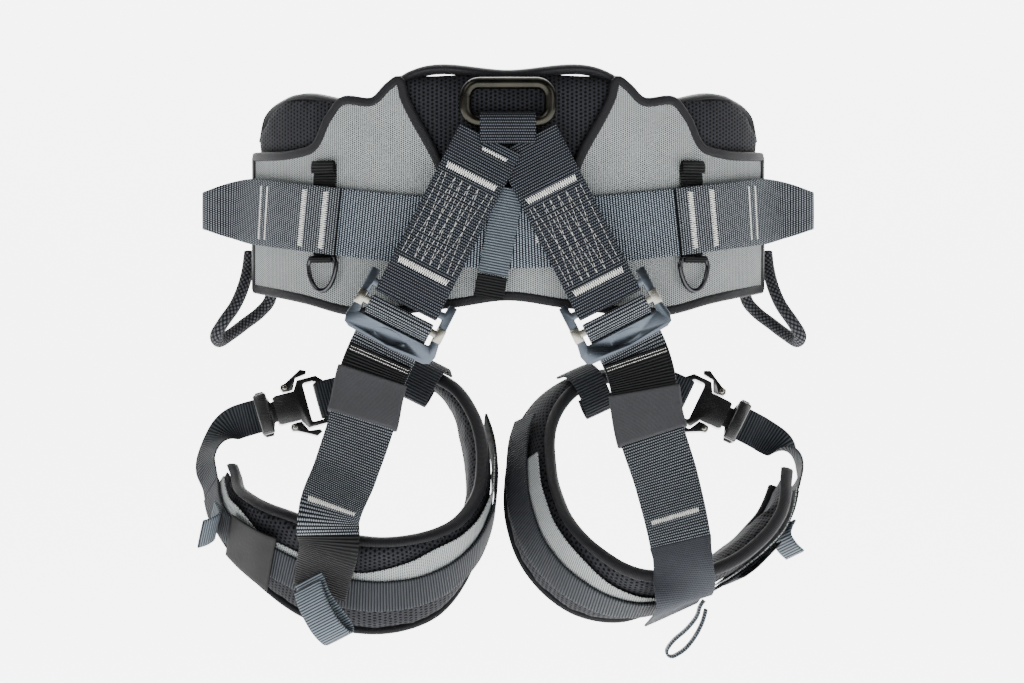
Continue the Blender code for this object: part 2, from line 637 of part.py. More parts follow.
def build_lever(name, frame, sign, half, mouth, long, parent):
    """A release lever beside the body, with the rivet that it turns on fast in it."""
    at = frame @ Matrix.Translation((2 * MM, sign * (mouth + LEVER_BOSS), 0))
    inner = half - mouth - LEVER_BOSS + CLEAR
    reach = long - 12 * MM
    shape = [(8.6 * MM, inner + 1.6 * MM), (reach, inner + LEVER_TRAVEL_GAP), (reach + 1 * MM,
            inner + LEVER_TRAVEL_GAP + 2 * MM),
             (reach - 3 * MM, inner + LEVER_TRAVEL_GAP + 4 * MM), (8 * MM, inner + 3.6 * MM),
             (1 * MM, 3 * MM),
             (-2.2 * MM, 2.2 * MM), (-3 * MM, 0), (-2 * MM, -2.4 * MM), (2 * MM, -2.8 * MM),
             (5 * MM, -2.6 * MM)]
    thick = BUCKLE_THICKNESS - 2 * MM
    lever = mesh_from(plate(name, [[(x, sign * y) for x, y in shape]], thick, at, "black_metal", parent))
    pin = bpy.data.meshes.new(name + "_rivet")
    mesh = bmesh.new()
    bmesh.ops.create_cone(mesh, cap_ends=True, segments=14, radius1=RIVET_HEAD, radius2=RIVET_HEAD,
                          depth=thick + 2 * MM)
    mesh.to_mesh(pin)
    mesh.free()
    rivet = bpy.data.objects.new(name + "_rivet", pin)
    rivet.matrix_world = at
    cut(lever, rivet, "UNION")


# The leg loops -------------------------------------------------------------------------------
# Each row: x, y, z of the pad's centre line, half its width, and how far its outer face turns
# towards the back (degrees), from the buckle's strap round under the thigh to the buckle's body.
LEG_LEFT = [
    (-189, 22, -262, 15, 40), (-184, 6, -281, 22, 44), (-168, -10, -298, 30, 48), (-142, -22, -313, 36, 52),
    (-113, -28, -326, 38, 53), (-82, -30, -330, 38, 53), (-53, -24, -324, 37, 46), (-32, -12, -308, 33, 28),
    (-20.5, 5, -284, 28, 6), (-19, 22, -256, 24, -8), (-25, 38, -228, 20, -15), (-38, 50, -206, 16, -15),
    (-57, 57, -194, 14, -8), (-76, 60, -191, 13, 0), (-93, 61, -195, 13, 3), (-106, 60, -200, 13, 5),
]
LEG_RIGHT = [
    (182, 28, -262, 14, -8), (175, 14, -283, 20, -12), (157, 0, -305, 26, -6), (134, -12, -322, 31, 4),
    (106, -22, -333, 35, 16), (77, -28, -336, 37, 28), (50, -26, -326, 36, 38), (28, -16, -306, 33, 42),
    (17, -2, -282, 29, 42), (14.5, 16, -254, 25, 36), (19, 32, -228, 21, 28), (33, 46, -208, 17, 16),
    (52, 56, -197, 14, 6), (71, 60, -194, 13, 2), (88, 62, -196, 13, 0), (101, 61, -199.5, 13, 0),
]
RISER_LEFT = [(-4.6, -3, -11), (-12, -19, -44), (-22, -38, -76)]
RISER_RIGHT = [(3.6, -3, -11), (9, -18, -46), (20, -38, -84)]
BUCKLE_PLACES = {
    -1: ((-149, 50, -216), (0.955, 0.15, 0.25), (-0.1, -1, 0.1)),
    1: ((140, 55, -218), (-0.88, 0.08, 0.42), (0.1, -1, 0.1)),
}
COVER_SPAN = (0.12, 0.20)
# The tail loop's station, how far its root lies across and along the band (mm), and its way
# as shares of the loop's run, of the way across and of the way out.
TAIL_LOOPS = {-1: (0.25, -9, 4, 6.2, (0.86, 0.6, 0.0)), 1: (0.25, 7, -2, 1, (1.0, 0.37, 0.3))}
TAIL_LOOP_LENGTH = {-1: 42, 1: 42}
FRONT_LOOP_SHARE = 0.86
RISER_END_LENGTH = {-1: 52 * MM, 1: 80 * MM}
SLEEVE_WALL = 1 * MM
LEG_SHELL = 1 * MM
LEG_CLEAR = 0.85 * MM
LEG_SHELL_DEPTH = LEG_PAD_THICKNESS / 2 + LEG_CLEAR + LEG_SHELL / 2
LEG_WEB_DEPTH = LEG_SHELL_DEPTH + LEG_SHELL / 2 + LEG_CLEAR + WEB_THICKNESS / 2
LEG_BUCKLE_LENGTH = 28 * MM
END_BAR = 5 * MM
LOOP_STATIONS = 37
SHELL_SPAN = (0.03, 0.68)
# Upper edge of the leg panel: share of the loop, and share of the pad's half width.
SHELL_EDGE = ((0.03, 0.88), (0.12, 0.80), (0.17, 0.46), (0.33, 0.42), (0.40, 0.62), (0.47, 0.86),
              (0.68, 0.90))
SHELL_LOW_EDGE = 0.28
WEB_SPAN = (0.02, 0.75)
RISER_END_SHARE = {-1: 0.28, 1: 0.305}
SLEEVE_FROM = {-1: 16 * MM, 1: 27 * MM}
SLEEVE_LENGTH = 34 * MM


def loop_frames(keys, turn):
    """Points, outward normals, directions across, half widths and tangents round a leg loop."""
    rows = smooth_path([(x * MM, y * MM, z * MM, half * MM, face) for x, y, z, half, face in keys],
                       LOOP_STATIONS)
    points = rows[:, :3]
    tangents = unit(np.gradient(points, axis=0))
    back = np.array((0.0, 1.0, 0.0))
    radial = unit(np.cross(back, tangents) * turn)
    face = np.radians(rows[:, 4])[:, None]
    normals = radial * np.cos(face) - back * np.sin(face)
    normals = unit(normals - (normals * tangents).sum(axis=1)[:, None] * tangents)
    return points, normals, np.cross(tangents, normals), rows[:, 3], tangents


def loop_place(keys, turn, share):
    """The frame of one station of a leg loop, as vectors, with its half width."""
    points, normals, across, half, tangents = loop_frames(keys, turn)
    i = round(share * (LOOP_STATIONS - 1))
    wide = Vector(across[i])
    return Vector(points[i]), Vector(normals[i]), wide if wide.y > 0 else -wide, Vector(tangents[i]), half[i]


def build_leg_pad(name, keys, turn, parent):
    """A foam pad with a rounded section, lofted round the thigh."""
    count = LOOP_STATIONS
    points, normals, across, half, _ = loop_frames(keys, turn)
    taper = np.minimum(1, 0.45 + 3.0 * np.minimum(np.linspace(0, 1, count), np.linspace(1, 0, count)))
    section = [(math.copysign(abs(math.cos(a)) ** 0.7, math.cos(a)), math.copysign(abs(math.sin(a)) ** 0.6,
            math.sin(a)))
               for a in np.linspace(0, 2 * math.pi, 10, endpoint=False)]
    mesh = bmesh.new()
    loops = []
    for i in range(count):
        thick = LEG_PAD_THICKNESS / 2 * taper[i]
        loops.append([mesh.verts.new(points[i] + across[i] * half[i] * u + normals[i] * thick * v) for u,
                      v in section])
    for first, second in zip(loops, loops[1:]):
        for i in range(len(section)):
            j = (i + 1) % len(section)
            mesh.faces.new((first[i], first[j], second[j], second[i]))
    mesh.faces.new(list(reversed(loops[0])))
    mesh.faces.new(loops[-1])
    bmesh.ops.recalc_face_normals(mesh, faces=mesh.faces)
    data = bpy.data.meshes.new(name)
    mesh.to_mesh(data)
    mesh.free()
    return place(name, data, "mesh", parent=parent)


def build_leg_layer(name, keys, turn, span, depth, width, finish, thickness, parent, edge=None):
    """A layer on the outer face of the leg pad, between two shares of its length."""
    first, last = (round(share * (LOOP_STATIONS - 1)) for share in span)
    points, normals, across, half, tangents = (v[first:last + 1] for v in loop_frames(keys, turn))
    wide = half * width if width < 1 else np.full(len(half), LEG_BAND / 2)
    centre = points + normals * depth
    low, high = np.full(len(half), -1.0), np.full(len(half), 1.0)
    if edge is not None:
        high = np.interp(np.linspace(*span, len(half)), *zip(*edge))
        low[:] = -SHELL_LOW_EDGE
        across = across * -turn
    rows = [[c + a * w * share for share in np.linspace(b, e, 3)] for c, a, w, b, e in zip(centre, across,
            wide, low, high)]
    piece = place(name, strip_mesh(name, rows), finish, parent=parent)
    give_wall(piece, thickness)
    return Vector(centre[0]), Vector(normals[0]), Vector(tangents[0])


def build_leg(side, word):
    frame = adjuster_matrix(side)
    hinge = frame @ Vector((0, -HINGE_AT, RISER_OUT))
    pivot = axis_empty("leg_hinge_" + word, (hinge.x, hinge.y, hinge.z))
    turn = 1 if side < 0 else -1
    keys = LEG_LEFT if side < 0 else LEG_RIGHT
    build_leg_pad("leg_pad_" + word, keys, turn, pivot)
    build_leg_layer("leg_shell_" + word, keys, turn, SHELL_SPAN, LEG_SHELL_DEPTH, 0.999, "twill",
                    LEG_SHELL, pivot,
                    SHELL_EDGE)
    start, normal, run = build_leg_layer("leg_webbing_" + word, keys, turn, WEB_SPAN, LEG_WEB_DEPTH, 2.0,
                                         "webbing", WEB_THICKNESS, pivot)
    build_riser(side, word, frame, keys, turn, pivot)
    build_leg_closure(side, word, start, normal, run, pivot)
    build_leg_trims(word, keys, turn, pivot)


def build_riser(side, word, frame, keys, turn, pivot):
    """The webbing from the adjuster down to the back of the thigh, with its sleeve and sewn end."""
    start = frame @ Vector((0, -HINGE_AT - HINGE_GAP, RISER_OUT))
    shape = RISER_LEFT if side < 0 else RISER_RIGHT
    route = [start] + [start + Vector((x, y, z)) * MM for x, y, z in shape]
    spot, out, wide, _, half = loop_place(keys, turn, RISER_END_SHARE[side])
    lift = LEG_WEB_DEPTH + WEB_THICKNESS + CLEAR + 2.8 * MM
    rim = spot + out * lift - wide * (half + 1 * MM)
    route += [rim + Vector((0, -3.5, 16)) * MM, rim - wide * 1 * MM + out * 1 * MM,
              spot + out * lift - wide * half * 0.45,
              spot + out * lift + wide * 2 * MM]
    slant = frame.to_3x3() @ Vector((1, 0, 0))
    rows = []
    for i, point in enumerate(route):
        step = route[min(i + 1, len(route) - 1)] - route[max(i - 1, 0)]
        normal = slant.cross(step)
        if normal.y > 0:
            normal = -normal
        rows.append((*point, *normal.normalized()))
    whole = smooth_path(rows, 61)
    steps = np.linalg.norm(np.diff(whole[:, :3], axis=0), axis=1)
    along = np.concatenate([[0], np.cumsum(steps)])
    split = int(np.searchsorted(along, along[-1] - RISER_END_LENGTH[side]))
    middle = RISER_TOP_WIDTH + (RISER_END_WIDTH - RISER_TOP_WIDTH) * 0.5
    split -= split % 2
    strap("leg_riser_" + word, [tuple(r) for r in whole[:split + 1:2]], RISER_TOP_WIDTH, "webbing", WEB_THICKNESS,
          24, pivot, middle)
    strap("leg_riser_end_" + word, [tuple(r) for r in whole[split + 1::2]], middle, "black_webbing",
          WEB_THICKNESS,
          16, pivot, RISER_END_WIDTH)
    first, last = (int(np.searchsorted(along, SLEEVE_FROM[side] + more)) for more in (0, SLEEVE_LENGTH))
    build_sleeve(word, whole[first:last + 1], pivot)


def build_sleeve(word, rows, pivot):
    """A flat elastic tube round the riser: an oval band with open ends."""
    points = rows[::2, :3]
    _, normals, across = path_frames(points, rows[::2, 3:6])
    half = RISER_TOP_WIDTH / 2 + CLEAR + SLEEVE_WALL / 2
    deep = WEB_THICKNESS / 2 + CLEAR + SLEEVE_WALL / 2 + 0.3 * MM
    ring = [(-half, -deep), (half, -deep), (half + 0.8 * MM, 0), (half, deep), (-half, deep),
            (-half - 0.8 * MM, 0)]
    grid = [[points[i] + across[i] * u + normals[i] * v for u, v in ring + ring[:1]]
            for i in range(len(points))]
    data = strip_mesh("leg_sleeve_" + word, grid)
    mesh = bmesh.new()
    mesh.from_mesh(data)
    bmesh.ops.remove_doubles(mesh, verts=mesh.verts, dist=0.00001)
    bmesh.ops.recalc_face_normals(mesh, faces=mesh.faces)
    mesh.to_mesh(data)
    mesh.free()
    piece = place("leg_sleeve_" + word, data, "elastic", parent=pivot)
    give_wall(piece, SLEEVE_WALL)


def build_leg_closure(side, word, web_start, web_normal, web_run, pivot):
    """The buckle above the thigh, its webbing and the strap that runs from it to the pad."""
    mouth, along, out = BUCKLE_PLACES[side]
    frame = buckle_frame(Vector(mouth) * MM, along, out)
    build_buckle("leg_buckle_" + word, frame, LEG_BAND, LEG_BUCKLE_LENGTH, BOTH_LEVERS, pivot)
    turned = frame @ Matrix.Rotation(-math.pi / 2, 4, "Z")
    bar = LEG_BUCKLE_LENGTH - END_BAR / 2
    wrap = END_BAR / 2 + WRAP_CLEAR + THIN_WEB / 2
    deep = BUCKLE_THICKNESS / 2 + WRAP_CLEAR + THIN_WEB / 2
    profile = [(-(bar + 11 * MM), deep - 1.0 * MM), (-(bar + 6 * MM), deep)]
    profile += wrap_round(-bar, wrap, deep)
    profile += [(-(bar + 6 * MM), -deep), (-(bar + 11 * MM), -deep + 1.0 * MM)]
    strap_in_frame("leg_buckle_web_" + word, turned, profile, LEG_BAND - 1 * MM, "webbing", 34, pivot,
                   THIN_WEB)
    normal = frame.to_3x3() @ Vector((0, 0, 1))
    rows = [(frame @ Vector((u * MM, 0, w * MM)), normal * a - (frame.to_3x3() @ Vector((1, 0, 0))) * b)
            for u, w, a, b in ((-15.0, -7, 0, -1), (-15.1, -2, 0, -1), (-15.6, 1.0, 0.4, -0.9),
                               (-17.6, 2.7, 1, 0),
                               (-21, 2.4, 1, 0), (-27, 1.4, 1, 0.2), (-35, -3, 0.9, 0.5))]
    rows += [(web_start - web_run * 22 * MM + Vector((side * 1 * MM, 0, 0)),
              (web_normal * 0.8 + normal * 0.2)),
             (web_start - web_run * 9 * MM, web_normal), (web_start - web_run * 1.5 * MM, web_normal)]
    strap("leg_strap_" + word, [(*p, *n) for p, n in rows], LEG_BAND - 2 * MM, "webbing", THIN_WEB, 34, pivot)


def build_leg_trims(word, keys, turn, pivot):
    """The cover, the strap tab, the tail loop and the loop at the front of the thigh."""
    top = LEG_WEB_DEPTH + WEB_THICKNESS / 2 + CLEAR + THIN_WEB / 2
    build_leg_layer("leg_cover_" + word, keys, turn, COVER_SPAN, top + 0.3 * MM, 0.66, "leather", THIN_WEB,
                    pivot)
    spot, out, _, run, _ = loop_place(keys, turn, 0.09)
    base = spot + out * (top + 1 * MM)
    tab = [(base - run * 7 * MM, out), (base - run * 2 * MM + out * 0.3 * MM, out),
           (base + run * 3 * MM + out * 2 * MM, out - run * 0.5), (base + run * 6 * MM + out * 8 * MM,
           out * 0.3 - run),
           (base + run * 7 * MM + out * 16 * MM, -run)]
    strap("leg_tab_" + word, [(*p, *n) for p, n in tab], LEG_BAND, "webbing", WEB_THICKNESS, 14, pivot)
    build_tail_loop(word, keys, turn, top, pivot)
    build_front_loop(word, keys, turn, pivot)


def build_tail_loop(word, keys, turn, top, pivot):
    """A teardrop of webbing sewn to the back of the thigh, beside the riser's end."""
    share, over, on, above, way = TAIL_LOOPS[-turn]
    spot, out, wide, run, _ = loop_place(keys, turn, share)
    base = spot + out * (top + above * MM) + wide * over * MM + run * on * MM
    ahead = (run * way[0] + wide * way[1] + out * way[2]).normalized()
    lift = (out - out.dot(ahead) * ahead).normalized()
    if turn < 0:
        side = wide - wide.dot(ahead) * ahead
        lift = (lift - lift.dot(side) * side / side.length_squared).normalized()
    long = TAIL_LOOP_LENGTH[-turn]
    shape = np.array(((0, 0), (4, 0.8), (10, 4.2), (20, 6.3), (long - 6, 7), (long - 1.2, 8.6), (long, 11),
                      (long - 1.2, 13.4), (long - 6, 15), (20, 13.8), (10, 9.8), (3, 5.2)))
    steps = np.gradient(shape, axis=0)
    ring = [(base + ahead * a * MM + lift * b * MM, ahead * up - lift * on) for (a, b),
            (on, up) in zip(shape, steps)]
    strap("leg_tail_loop_" + word, [(*p, *n) for p, n in ring], LEG_BAND, "webbing", WEB_THICKNESS, 30, pivot)


def build_front_loop(word, keys, turn, pivot):
    """The loop at the front of the thigh: it leaves the pad's outer face and hangs past its edge."""
    spot, out, wide, _, half = loop_place(keys, turn, FRONT_LOOP_SHARE)
    base = spot + out * (LEG_PAD_THICKNESS / 2 + CLEAR + WEB_THICKNESS / 2 + 0.4 * MM)
    route = ((-4, 0, 1, 0), (half / MM - 2, 0.2, 1, 0), (half / MM + 4, -4, 0.5, 0.9), (half / MM + 7, -14,
            0, 1),
             (half / MM + 7, -26, 0, 1), (half / MM + 4.6, -30, -1, 0), (half / MM + 2.4, -26, 0, -1),
             (half / MM + 2.2, -17, 0, -1))
    eye = [(base - wide * along * MM + out * up * MM, out * a - wide * b) for along, up, a, b in route]
    strap("leg_front_loop_" + word, [(*p, *n) for p, n in eye], LEG_FRONT_WEB, "webbing", WEB_THICKNESS,
          26, pivot)


clear_scene()
SADDLE = new_collection("tree_climbing_saddle")
CUTTERS = new_collection("cutters")
build_waist()
build_side_loops()
build_gear_straps()
build_gear_cords()
build_rear_ring()
build_ring_webbing()
build_rear_straps()
build_centre_tab()
build_adjusters()
build_front_belts()
build_buckle("front_buckle", buckle_frame((0, FRONT_BELT_Y, belt_height(PAD_REACH) - 8 * MM), (1, 0, 0),
                                          (0, 1, 0)),
             BELT_WIDTH, 40 * MM, FRONT_LEVER)
build_leg(-1, "left")
build_leg(1, "right")
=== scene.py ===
"""A tree climbing saddle that hangs from its rear ring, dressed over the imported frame.

Webbing, padding, cord and metal are built here as new pieces, each fast to one body of the frame.
Lengths are in metres, +X lies to the right as seen from behind the wearer, and +Z is up.
"""

import logging
import math
from dataclasses import dataclass, field
from enum import Enum
from typing import Callable, Optional, Sequence

import bmesh
import bpy
import numpy as np
from mathutils import Matrix, Vector


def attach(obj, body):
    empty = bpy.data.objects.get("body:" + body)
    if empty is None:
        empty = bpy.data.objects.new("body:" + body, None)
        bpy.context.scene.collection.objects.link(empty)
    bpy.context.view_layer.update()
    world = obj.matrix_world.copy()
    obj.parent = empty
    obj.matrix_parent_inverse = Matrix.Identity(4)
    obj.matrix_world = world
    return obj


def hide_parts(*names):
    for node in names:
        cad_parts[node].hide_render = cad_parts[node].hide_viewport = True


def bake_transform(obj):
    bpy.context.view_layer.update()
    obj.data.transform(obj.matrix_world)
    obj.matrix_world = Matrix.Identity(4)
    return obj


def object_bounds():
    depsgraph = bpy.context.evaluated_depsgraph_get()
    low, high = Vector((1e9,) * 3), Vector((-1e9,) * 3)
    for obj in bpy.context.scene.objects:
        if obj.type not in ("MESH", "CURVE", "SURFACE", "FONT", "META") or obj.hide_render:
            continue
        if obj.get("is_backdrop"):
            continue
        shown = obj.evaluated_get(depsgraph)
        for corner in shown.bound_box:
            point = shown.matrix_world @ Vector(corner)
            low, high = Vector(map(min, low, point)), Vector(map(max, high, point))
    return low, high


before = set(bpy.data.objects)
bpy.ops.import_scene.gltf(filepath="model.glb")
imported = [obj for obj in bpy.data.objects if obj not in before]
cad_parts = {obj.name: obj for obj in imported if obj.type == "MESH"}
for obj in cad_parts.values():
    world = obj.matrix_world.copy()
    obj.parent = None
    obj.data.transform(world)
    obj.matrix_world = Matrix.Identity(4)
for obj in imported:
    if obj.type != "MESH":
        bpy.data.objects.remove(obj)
LOG = logging.getLogger("saddle")
MM = 0.001

CLEAR = 0.4 * MM
WAIST_HALF_WIDTH = 178 * MM
WAIST_DEPTH = 118 * MM
PAD_FACE_Y = 8 * MM
PAD_REACH = 173 * MM
PAD_CENTRE_TOP = 9.5 * MM
PAD_CENTRE_HALF = 72 * MM
PAD_WING_TOP = -7 * MM
PAD_BOTTOM = -146 * MM
PAD_BOTTOM_LIFT = 10 * MM
SHEET_THICKNESS = 1.5 * MM
SHELL_WING_TOP = -43 * MM
SHELL_NOTCH_BOTTOM = -76 * MM
SHELL_NOTCH_HALF = 46 * MM
BELT_WIDTH = 45 * MM
WEB_THICKNESS = 1.8 * MM
THIN_WEB = 1.2 * MM
BELT_HEIGHT = -100 * MM
BELT_RISE = 16 * MM
BELT_END = 168 * MM
FRONT_BELT_Y = 226 * MM
SIDE_LOOP_START = 109 * MM
SIDE_LOOP_TIP = 36 * MM
GEAR_STRAP_X = 120 * MM
GEAR_STRAP_WIDTH = 18 * MM
GEAR_STRAP_TOP = -50 * MM
D_RING_WIRE = 3.4 * MM
D_RING_WIDTH = 26 * MM
D_RING_DROP = 22 * MM
GEAR_CORD = 8.4 * MM
RING_BAR = 8 * MM
RING_WIDTH = 64 * MM
RING_HEIGHT = 33 * MM
RING_CORNER = 9 * MM
RING_WEB_WIDTH = 37 * MM
CENTRE_TAB_WIDTH = 20 * MM
STRAP_SPLAY = math.radians(27)
STRAP_LENGTH = 132 * MM
STRAP_TOP = Vector((11.5 * MM, 0, -37 * MM))
ADJUSTER_PLATE = 4 * MM
ADJUSTER_Y = -1 * MM
TOP_BAR = (-16 * MM, -11 * MM)
PLATE_TOP = 8.2 * MM
WRAP_CLEAR = 0.8 * MM
SLIDE_BAR_AT = -0.7 * MM
SLIDE_BAR_HALF = (2.4 * MM, 1.5 * MM)
HINGE_AT = 24.5 * MM
HINGE_GAP = 2.2 * MM
RISER_OUT = -(ADJUSTER_PLATE / 2 + WRAP_CLEAR + WEB_THICKNESS + 0.5 * MM)
LEG_PAD_THICKNESS = 14 * MM
LEG_BAND = 25 * MM
LEG_FRONT_WEB = 22 * MM
RISER_TOP_WIDTH = 45 * MM
RISER_END_WIDTH = 36 * MM
SLEEVE_WALL = 1 * MM
SLEEVE_LENGTH = 34 * MM
LEG_SHELL = 1 * MM
LEG_CLEAR = 0.85 * MM
LEG_BUCKLE_LENGTH = 28 * MM
BUCKLE_THICKNESS = 9 * MM
END_BAR = 5 * MM
LOOP_STATIONS = 37
STRAP_SAG = 0.6 * MM
SHELL_DEPTH = CLEAR * 2.5 + SHEET_THICKNESS * 1.5
GEAR_STRAP_DEPTH = SHELL_DEPTH + SHEET_THICKNESS / 2 + CLEAR + THIN_WEB / 2 + STRAP_SAG
BELT_DEPTH = GEAR_STRAP_DEPTH + THIN_WEB / 2 + CLEAR + WEB_THICKNESS / 2
SIDE_LOOP_DEPTH = BELT_DEPTH + WEB_THICKNESS + CLEAR
LEG_SHELL_DEPTH = LEG_PAD_THICKNESS / 2 + LEG_CLEAR + LEG_SHELL / 2
LEG_WEB_DEPTH = LEG_SHELL_DEPTH + LEG_SHELL / 2 + LEG_CLEAR + WEB_THICKNESS / 2
THREAD = 0.2 * MM
STROKES = (-16, -9, -4, 2, 8, 15)
FINE_STEP = 1.5 * MM
BELT_STITCH_LIFT = WEB_THICKNESS / 2 + THREAD * 0.4
STRAP_STITCH_LIFT = WEB_THICKNESS / 2 + THREAD * 0.45
WRAP_POINTS = 9
WRAP_CORNER = 0.6
TAPE_SIZE = (6.4 * MM, 3.2 * MM)
END_TAPE_SIZE = (6.0 * MM, 3.0 * MM)
RIM_SIZE = (7 * MM, 15.5 * MM)
RIM_DEPTH = -7.5 * MM
DISH_SIZE = (12 * MM, 5 * MM, 1.9 * MM)
TAB_SHARE = 0.09
TAIL_LOOP_REACH = 42

VOXEL = 4.5 * MM
CLOTH_FRAMES = 20
CLOTH_PRESSURE = 4.0

COAT_ROUGHNESS = 0.2
SHEEN_ROUGHNESS = 0.4
METAL_SPECULAR = 0.5
CLOTH_SPECULAR = 0.12

FLOOR_LEVEL = -0.62
BACKDROP_Y = 2.6
BACKDROP_BEND = 1.2
LIGHTS = (("key", (-1.3, -1.7, 1.3), 1.1, 26), ("fill", (1.6, -1.5, 0.5), 1.1, 17),
          ("top", (0.1, 0.2, 1.8), 1.4, 16),
          ("back", (0.0, 1.2, 0.9), 1.6, 16), ("low", (0.0, -1.6, -0.55), 1.0, 5))
LIGHT_AIM = (0, 0.05, -0.17)
WORLD_STRENGTH = 0.05
CAMERA_PLACE = (0.00264, -2.4, -0.1706)
CAMERA_SENSOR = 36
CAMERA_LENS = 127.84


class Side(Enum):
    """The two sides of the saddle, by the sign of X."""

    LEFT = -1
    RIGHT = 1

    @property
    def word(self) -> str:
        """The side's name as node names have it."""
        return self.name.lower()


class Pattern(Enum):
    """What the surface of a finish is made of."""

    WEBBING = "webbing"
    RIBBED = "ribbed"
    TWILL = "twill"
    MESH = "mesh"
    BRAID = "braid"
    ELASTIC = "elastic"
    SMOOTH = "smooth"
    METAL = "metal"
    THREAD = "thread"
    PLAIN = "plain"


@dataclass(frozen=True)
class Finish:
    """One finish: its pattern, its two colours and how it takes the light.

    Args:
        name: The material's name.
        slot: The record's material slot; not used.
        pattern: What the surface is made of.
        dark: Colour in the pattern's hollows.
        light: Colour of what stands proud.
        pitch: Distance between the pattern's repeats along and across.
        relief: Height of the pattern.
        rough: Base roughness.
        metallic: 1 for bare metal.
        sheen: Weight of the fabric's sheen.
        coat: Weight of a clear coat.
        glow: Strength of its own light.
    """

    name: str
    slot: Optional[str]
    pattern: Pattern
    dark: tuple[float, float, float]
    light: tuple[float, float, float]
    pitch: tuple[float, float] = (2.3 * MM, 1.8 * MM)
    relief: float = 0.5 * MM
    rough: float = 0.8
    metallic: float = 0.0
    sheen: float = 0.0
    coat: float = 0.0
    glow: float = 0.0


WEBBING = Finish("webbing", "blue_grey_webbing", Pattern.WEBBING, (0.0032, 0.004, 0.0056), (0.192, 0.224,
        0.26),
                 pitch=(1.95 * MM, 1.5 * MM), relief=0.45 * MM)
DARK_WEBBING = Finish("dark_webbing", "blue_grey_webbing", Pattern.WEBBING, (0.0014, 0.0018, 0.0022),
                      (0.1368, 0.1512, 0.1692), pitch=(1.95 * MM, 1.5 * MM), relief=0.45 * MM)
REAR_WEBBING = Finish("rear_webbing", "blue_grey_webbing", Pattern.WEBBING, (0.0016, 0.002, 0.0024),
                      (0.052, 0.0584, 0.0704), pitch=(1.9 * MM, 1.5 * MM), relief=0.45 * MM)
BLACK_WEBBING = Finish("black_webbing", "black_webbing", Pattern.RIBBED, (0.0003, 0.0003, 0.0004),
                       (0.0035, 0.0038, 0.0044), pitch=(1.9 * MM, 1.2 * MM), relief=0.5 * MM, rough=0.7)
LOOP_WEBBING = Finish("loop_webbing", "blue_grey_webbing", Pattern.RIBBED, (0.0082, 0.0102, 0.0129),
                      (0.102, 0.1224, 0.1428),
                      pitch=(1.8 * MM, 1.3 * MM), relief=0.5 * MM)
BAND_WEBBING = Finish("band_webbing", "blue_grey_webbing", Pattern.RIBBED, (0.0012, 0.0015, 0.0018),
                      (0.024, 0.0276, 0.0336), pitch=(1.9 * MM, 1.4 * MM), relief=0.55 * MM)
BINDING = Finish("binding", "spacer_mesh", Pattern.RIBBED, (0.002, 0.002, 0.0025), (0.0075, 0.0077, 0.0095),
                 pitch=(1.0 * MM, 0.9 * MM), relief=0.12 * MM, rough=0.62, sheen=0.02)
TWILL = Finish("grey_twill", "grey_twill", Pattern.TWILL, (0.004, 0.0046, 0.0046), (0.2442, 0.2607, 0.2607),
               pitch=(1.5 * MM, 1.35 * MM), relief=0.3 * MM, rough=0.85)
MESH = Finish("spacer_mesh", "spacer_mesh", Pattern.MESH, (0.0006, 0.0006, 0.0007), (0.0126, 0.0133, 0.0168),
              pitch=(3.0 * MM, 2.6 * MM), relief=0.9 * MM, rough=0.8, sheen=0.02)
PLASTIC = Finish("stiffener_plastic", "stiffener_plastic", Pattern.SMOOTH, (0.012, 0.012, 0.012),
                 (0.03, 0.03, 0.03), pitch=(6 * MM, 6 * MM), relief=0.05 * MM, rough=0.5)
ELASTIC = Finish("grey_elastic", "grey_elastic", Pattern.ELASTIC, (0.021, 0.0214, 0.0232), (0.0488, 0.0495,
        0.0532),
                 pitch=(0.9 * MM, 1.1 * MM), relief=0.16 * MM, rough=0.9)
LEATHER = Finish("black_leather", "black_cover", Pattern.SMOOTH, (0.0008, 0.0008, 0.0008), (0.0044, 0.0044,
        0.0048),
                 pitch=(2.2 * MM, 2.2 * MM), relief=0.15 * MM, rough=0.6)
COVER = Finish("fabric_cover", "black_webbing", Pattern.TWILL, (0.0064, 0.0072, 0.0088), (0.032, 0.0352,
        0.0416),
               pitch=(1.2 * MM, 1.1 * MM), relief=0.15 * MM, rough=0.7)
CORD = Finish("braided_cord", "braided_cord", Pattern.BRAID, (0.0028, 0.0028, 0.0035), (0.07, 0.0728, 0.0805),
              pitch=(3.6 * MM, 3.3 * MM), relief=0.6 * MM, rough=0.75)
BRONZE = Finish("bronze_steel", "bronze_steel", Pattern.METAL, (0.012, 0.0117, 0.0096), (0.03, 0.0288,
        0.0234),
                pitch=(0.8 * MM, 9 * MM), relief=0.02 * MM, rough=0.3, metallic=1.0)
STEEL = Finish("bright_steel", "bright_steel", Pattern.METAL, (0.0358, 0.0423, 0.052), (0.078, 0.091, 0.1073),
               pitch=(0.7 * MM, 7 * MM), relief=0.008 * MM, rough=0.32, metallic=1.0)
GUNMETAL = Finish("gunmetal", "bright_steel", Pattern.METAL, (0.016, 0.016, 0.0176), (0.056, 0.0576, 0.0624),
                  pitch=(0.6 * MM, 5 * MM), relief=0.008 * MM, rough=0.25, metallic=1.0)
SILVER = Finish("silver_pins", "bright_steel", Pattern.METAL, (0.144, 0.1395, 0.117), (0.324, 0.3105, 0.27),
                pitch=(0.6 * MM, 4 * MM), relief=0.01 * MM, rough=0.25, metallic=1.0)
BLACK_METAL = Finish("black_metal", "black_metal", Pattern.METAL, (0.0018, 0.0018, 0.0021), (0.006, 0.006,
        0.0066),
                     pitch=(0.8 * MM, 6 * MM), relief=0.02 * MM, rough=0.25, coat=0.5)
